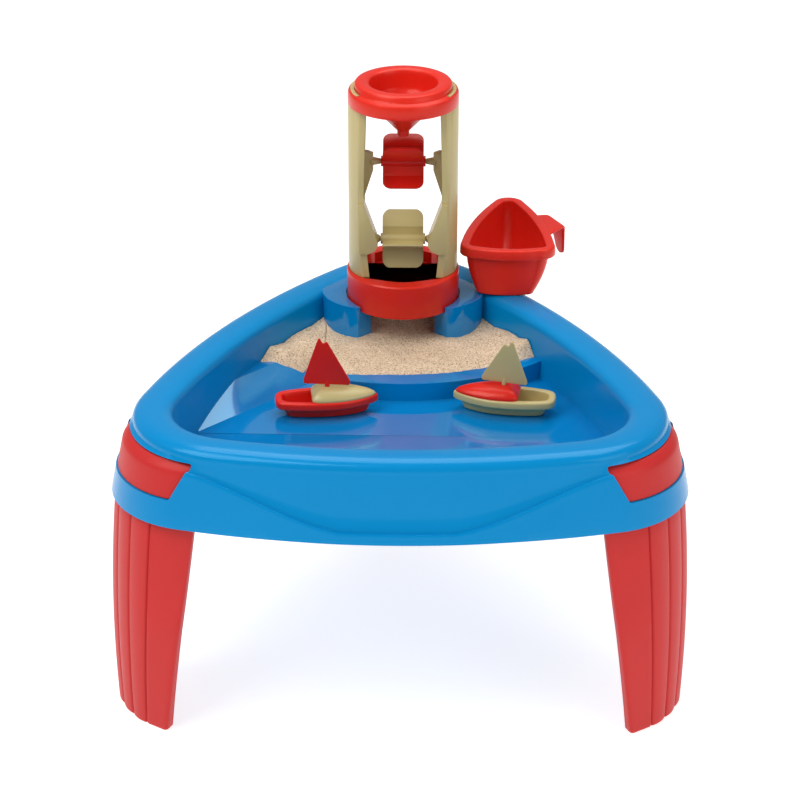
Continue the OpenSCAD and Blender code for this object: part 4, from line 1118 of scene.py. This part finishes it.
def floor_material():
    """A pale floor that keeps a light shadow and is nearly white elsewhere."""
    mat = bpy.data.materials.new("floor_white")
    mat.use_nodes = True
    nt = mat.node_tree
    nt.nodes.clear()
    out = nt.nodes.new("ShaderNodeOutputMaterial")
    diffuse = nt.nodes.new("ShaderNodeBsdfDiffuse")
    diffuse.inputs["Color"].default_value = FLOOR_GREY
    glow = nt.nodes.new("ShaderNodeEmission")
    glow.inputs["Color"].default_value = (1, 1, 1, 1)
    glow.inputs["Strength"].default_value = FLOOR_GLOW
    add = nt.nodes.new("ShaderNodeAddShader")
    nt.links.new(diffuse.outputs["BSDF"], add.inputs[0])
    nt.links.new(glow.outputs["Emission"], add.inputs[1])
    nt.links.new(add.outputs["Shader"], out.inputs["Surface"])
    return mat


def area(name, place, aim, size, power):
    light = bpy.data.lights.new(name, "AREA")
    light.shape = "RECTANGLE"
    light.size = size[0]
    light.size_y = size[1]
    light.energy = power
    ob = bpy.data.objects.new(name, light)
    bpy.context.scene.collection.objects.link(ob)
    ob.location = Vector(place)
    ob.rotation_euler = (Vector(aim) - Vector(place)).to_track_quat("-Z", "Y").to_euler()
    return ob


def fitted_camera():
    """The camera solved from the photograph, from its turns and its place."""
    data = bpy.data.cameras.new("camera")
    data.lens = LENS
    data.sensor_width = SENSOR
    data.clip_end = FAR_CLIP
    cam = bpy.data.objects.new("camera", data)
    bpy.context.scene.collection.objects.link(cam)
    ahead = np.array([sind(YAW) * cosd(PITCH), cosd(YAW) * cosd(PITCH), -sind(PITCH)])
    right = np.array([cosd(YAW), -sind(YAW), 0])
    up = np.cross(right, ahead)
    x_axis = cosd(ROLL) * right + sind(ROLL) * up
    y_axis = -sind(ROLL) * right + cosd(ROLL) * up
    m = Matrix.Identity(4)
    for i in range(3):
        m[i][0] = x_axis[i]
        m[i][1] = y_axis[i]
        m[i][2] = -ahead[i]
    m.translation = Vector(CAMERA_AT)
    cam.matrix_world = m
    return cam


studio()
floor = add_mesh("floor", FLOOR_BOX, [(0, 1, 2, 3)], flat=True)
floor.data.materials.append(floor_material())
key = area("key", (-1.4, -1.0, 2.6), AIM, (1.8, 1.8), 46)
top = area("top", (0.3, 0.9, 2.9), AIM, (2.6, 1.6), 40)
fill = area("fill", (1.9, -1.6, 1.3), AIM, (1.6, 1.6), 14)
bpy.context.scene.camera = fitted_camera()
bpy.context.scene.view_settings.view_transform = "Standard"
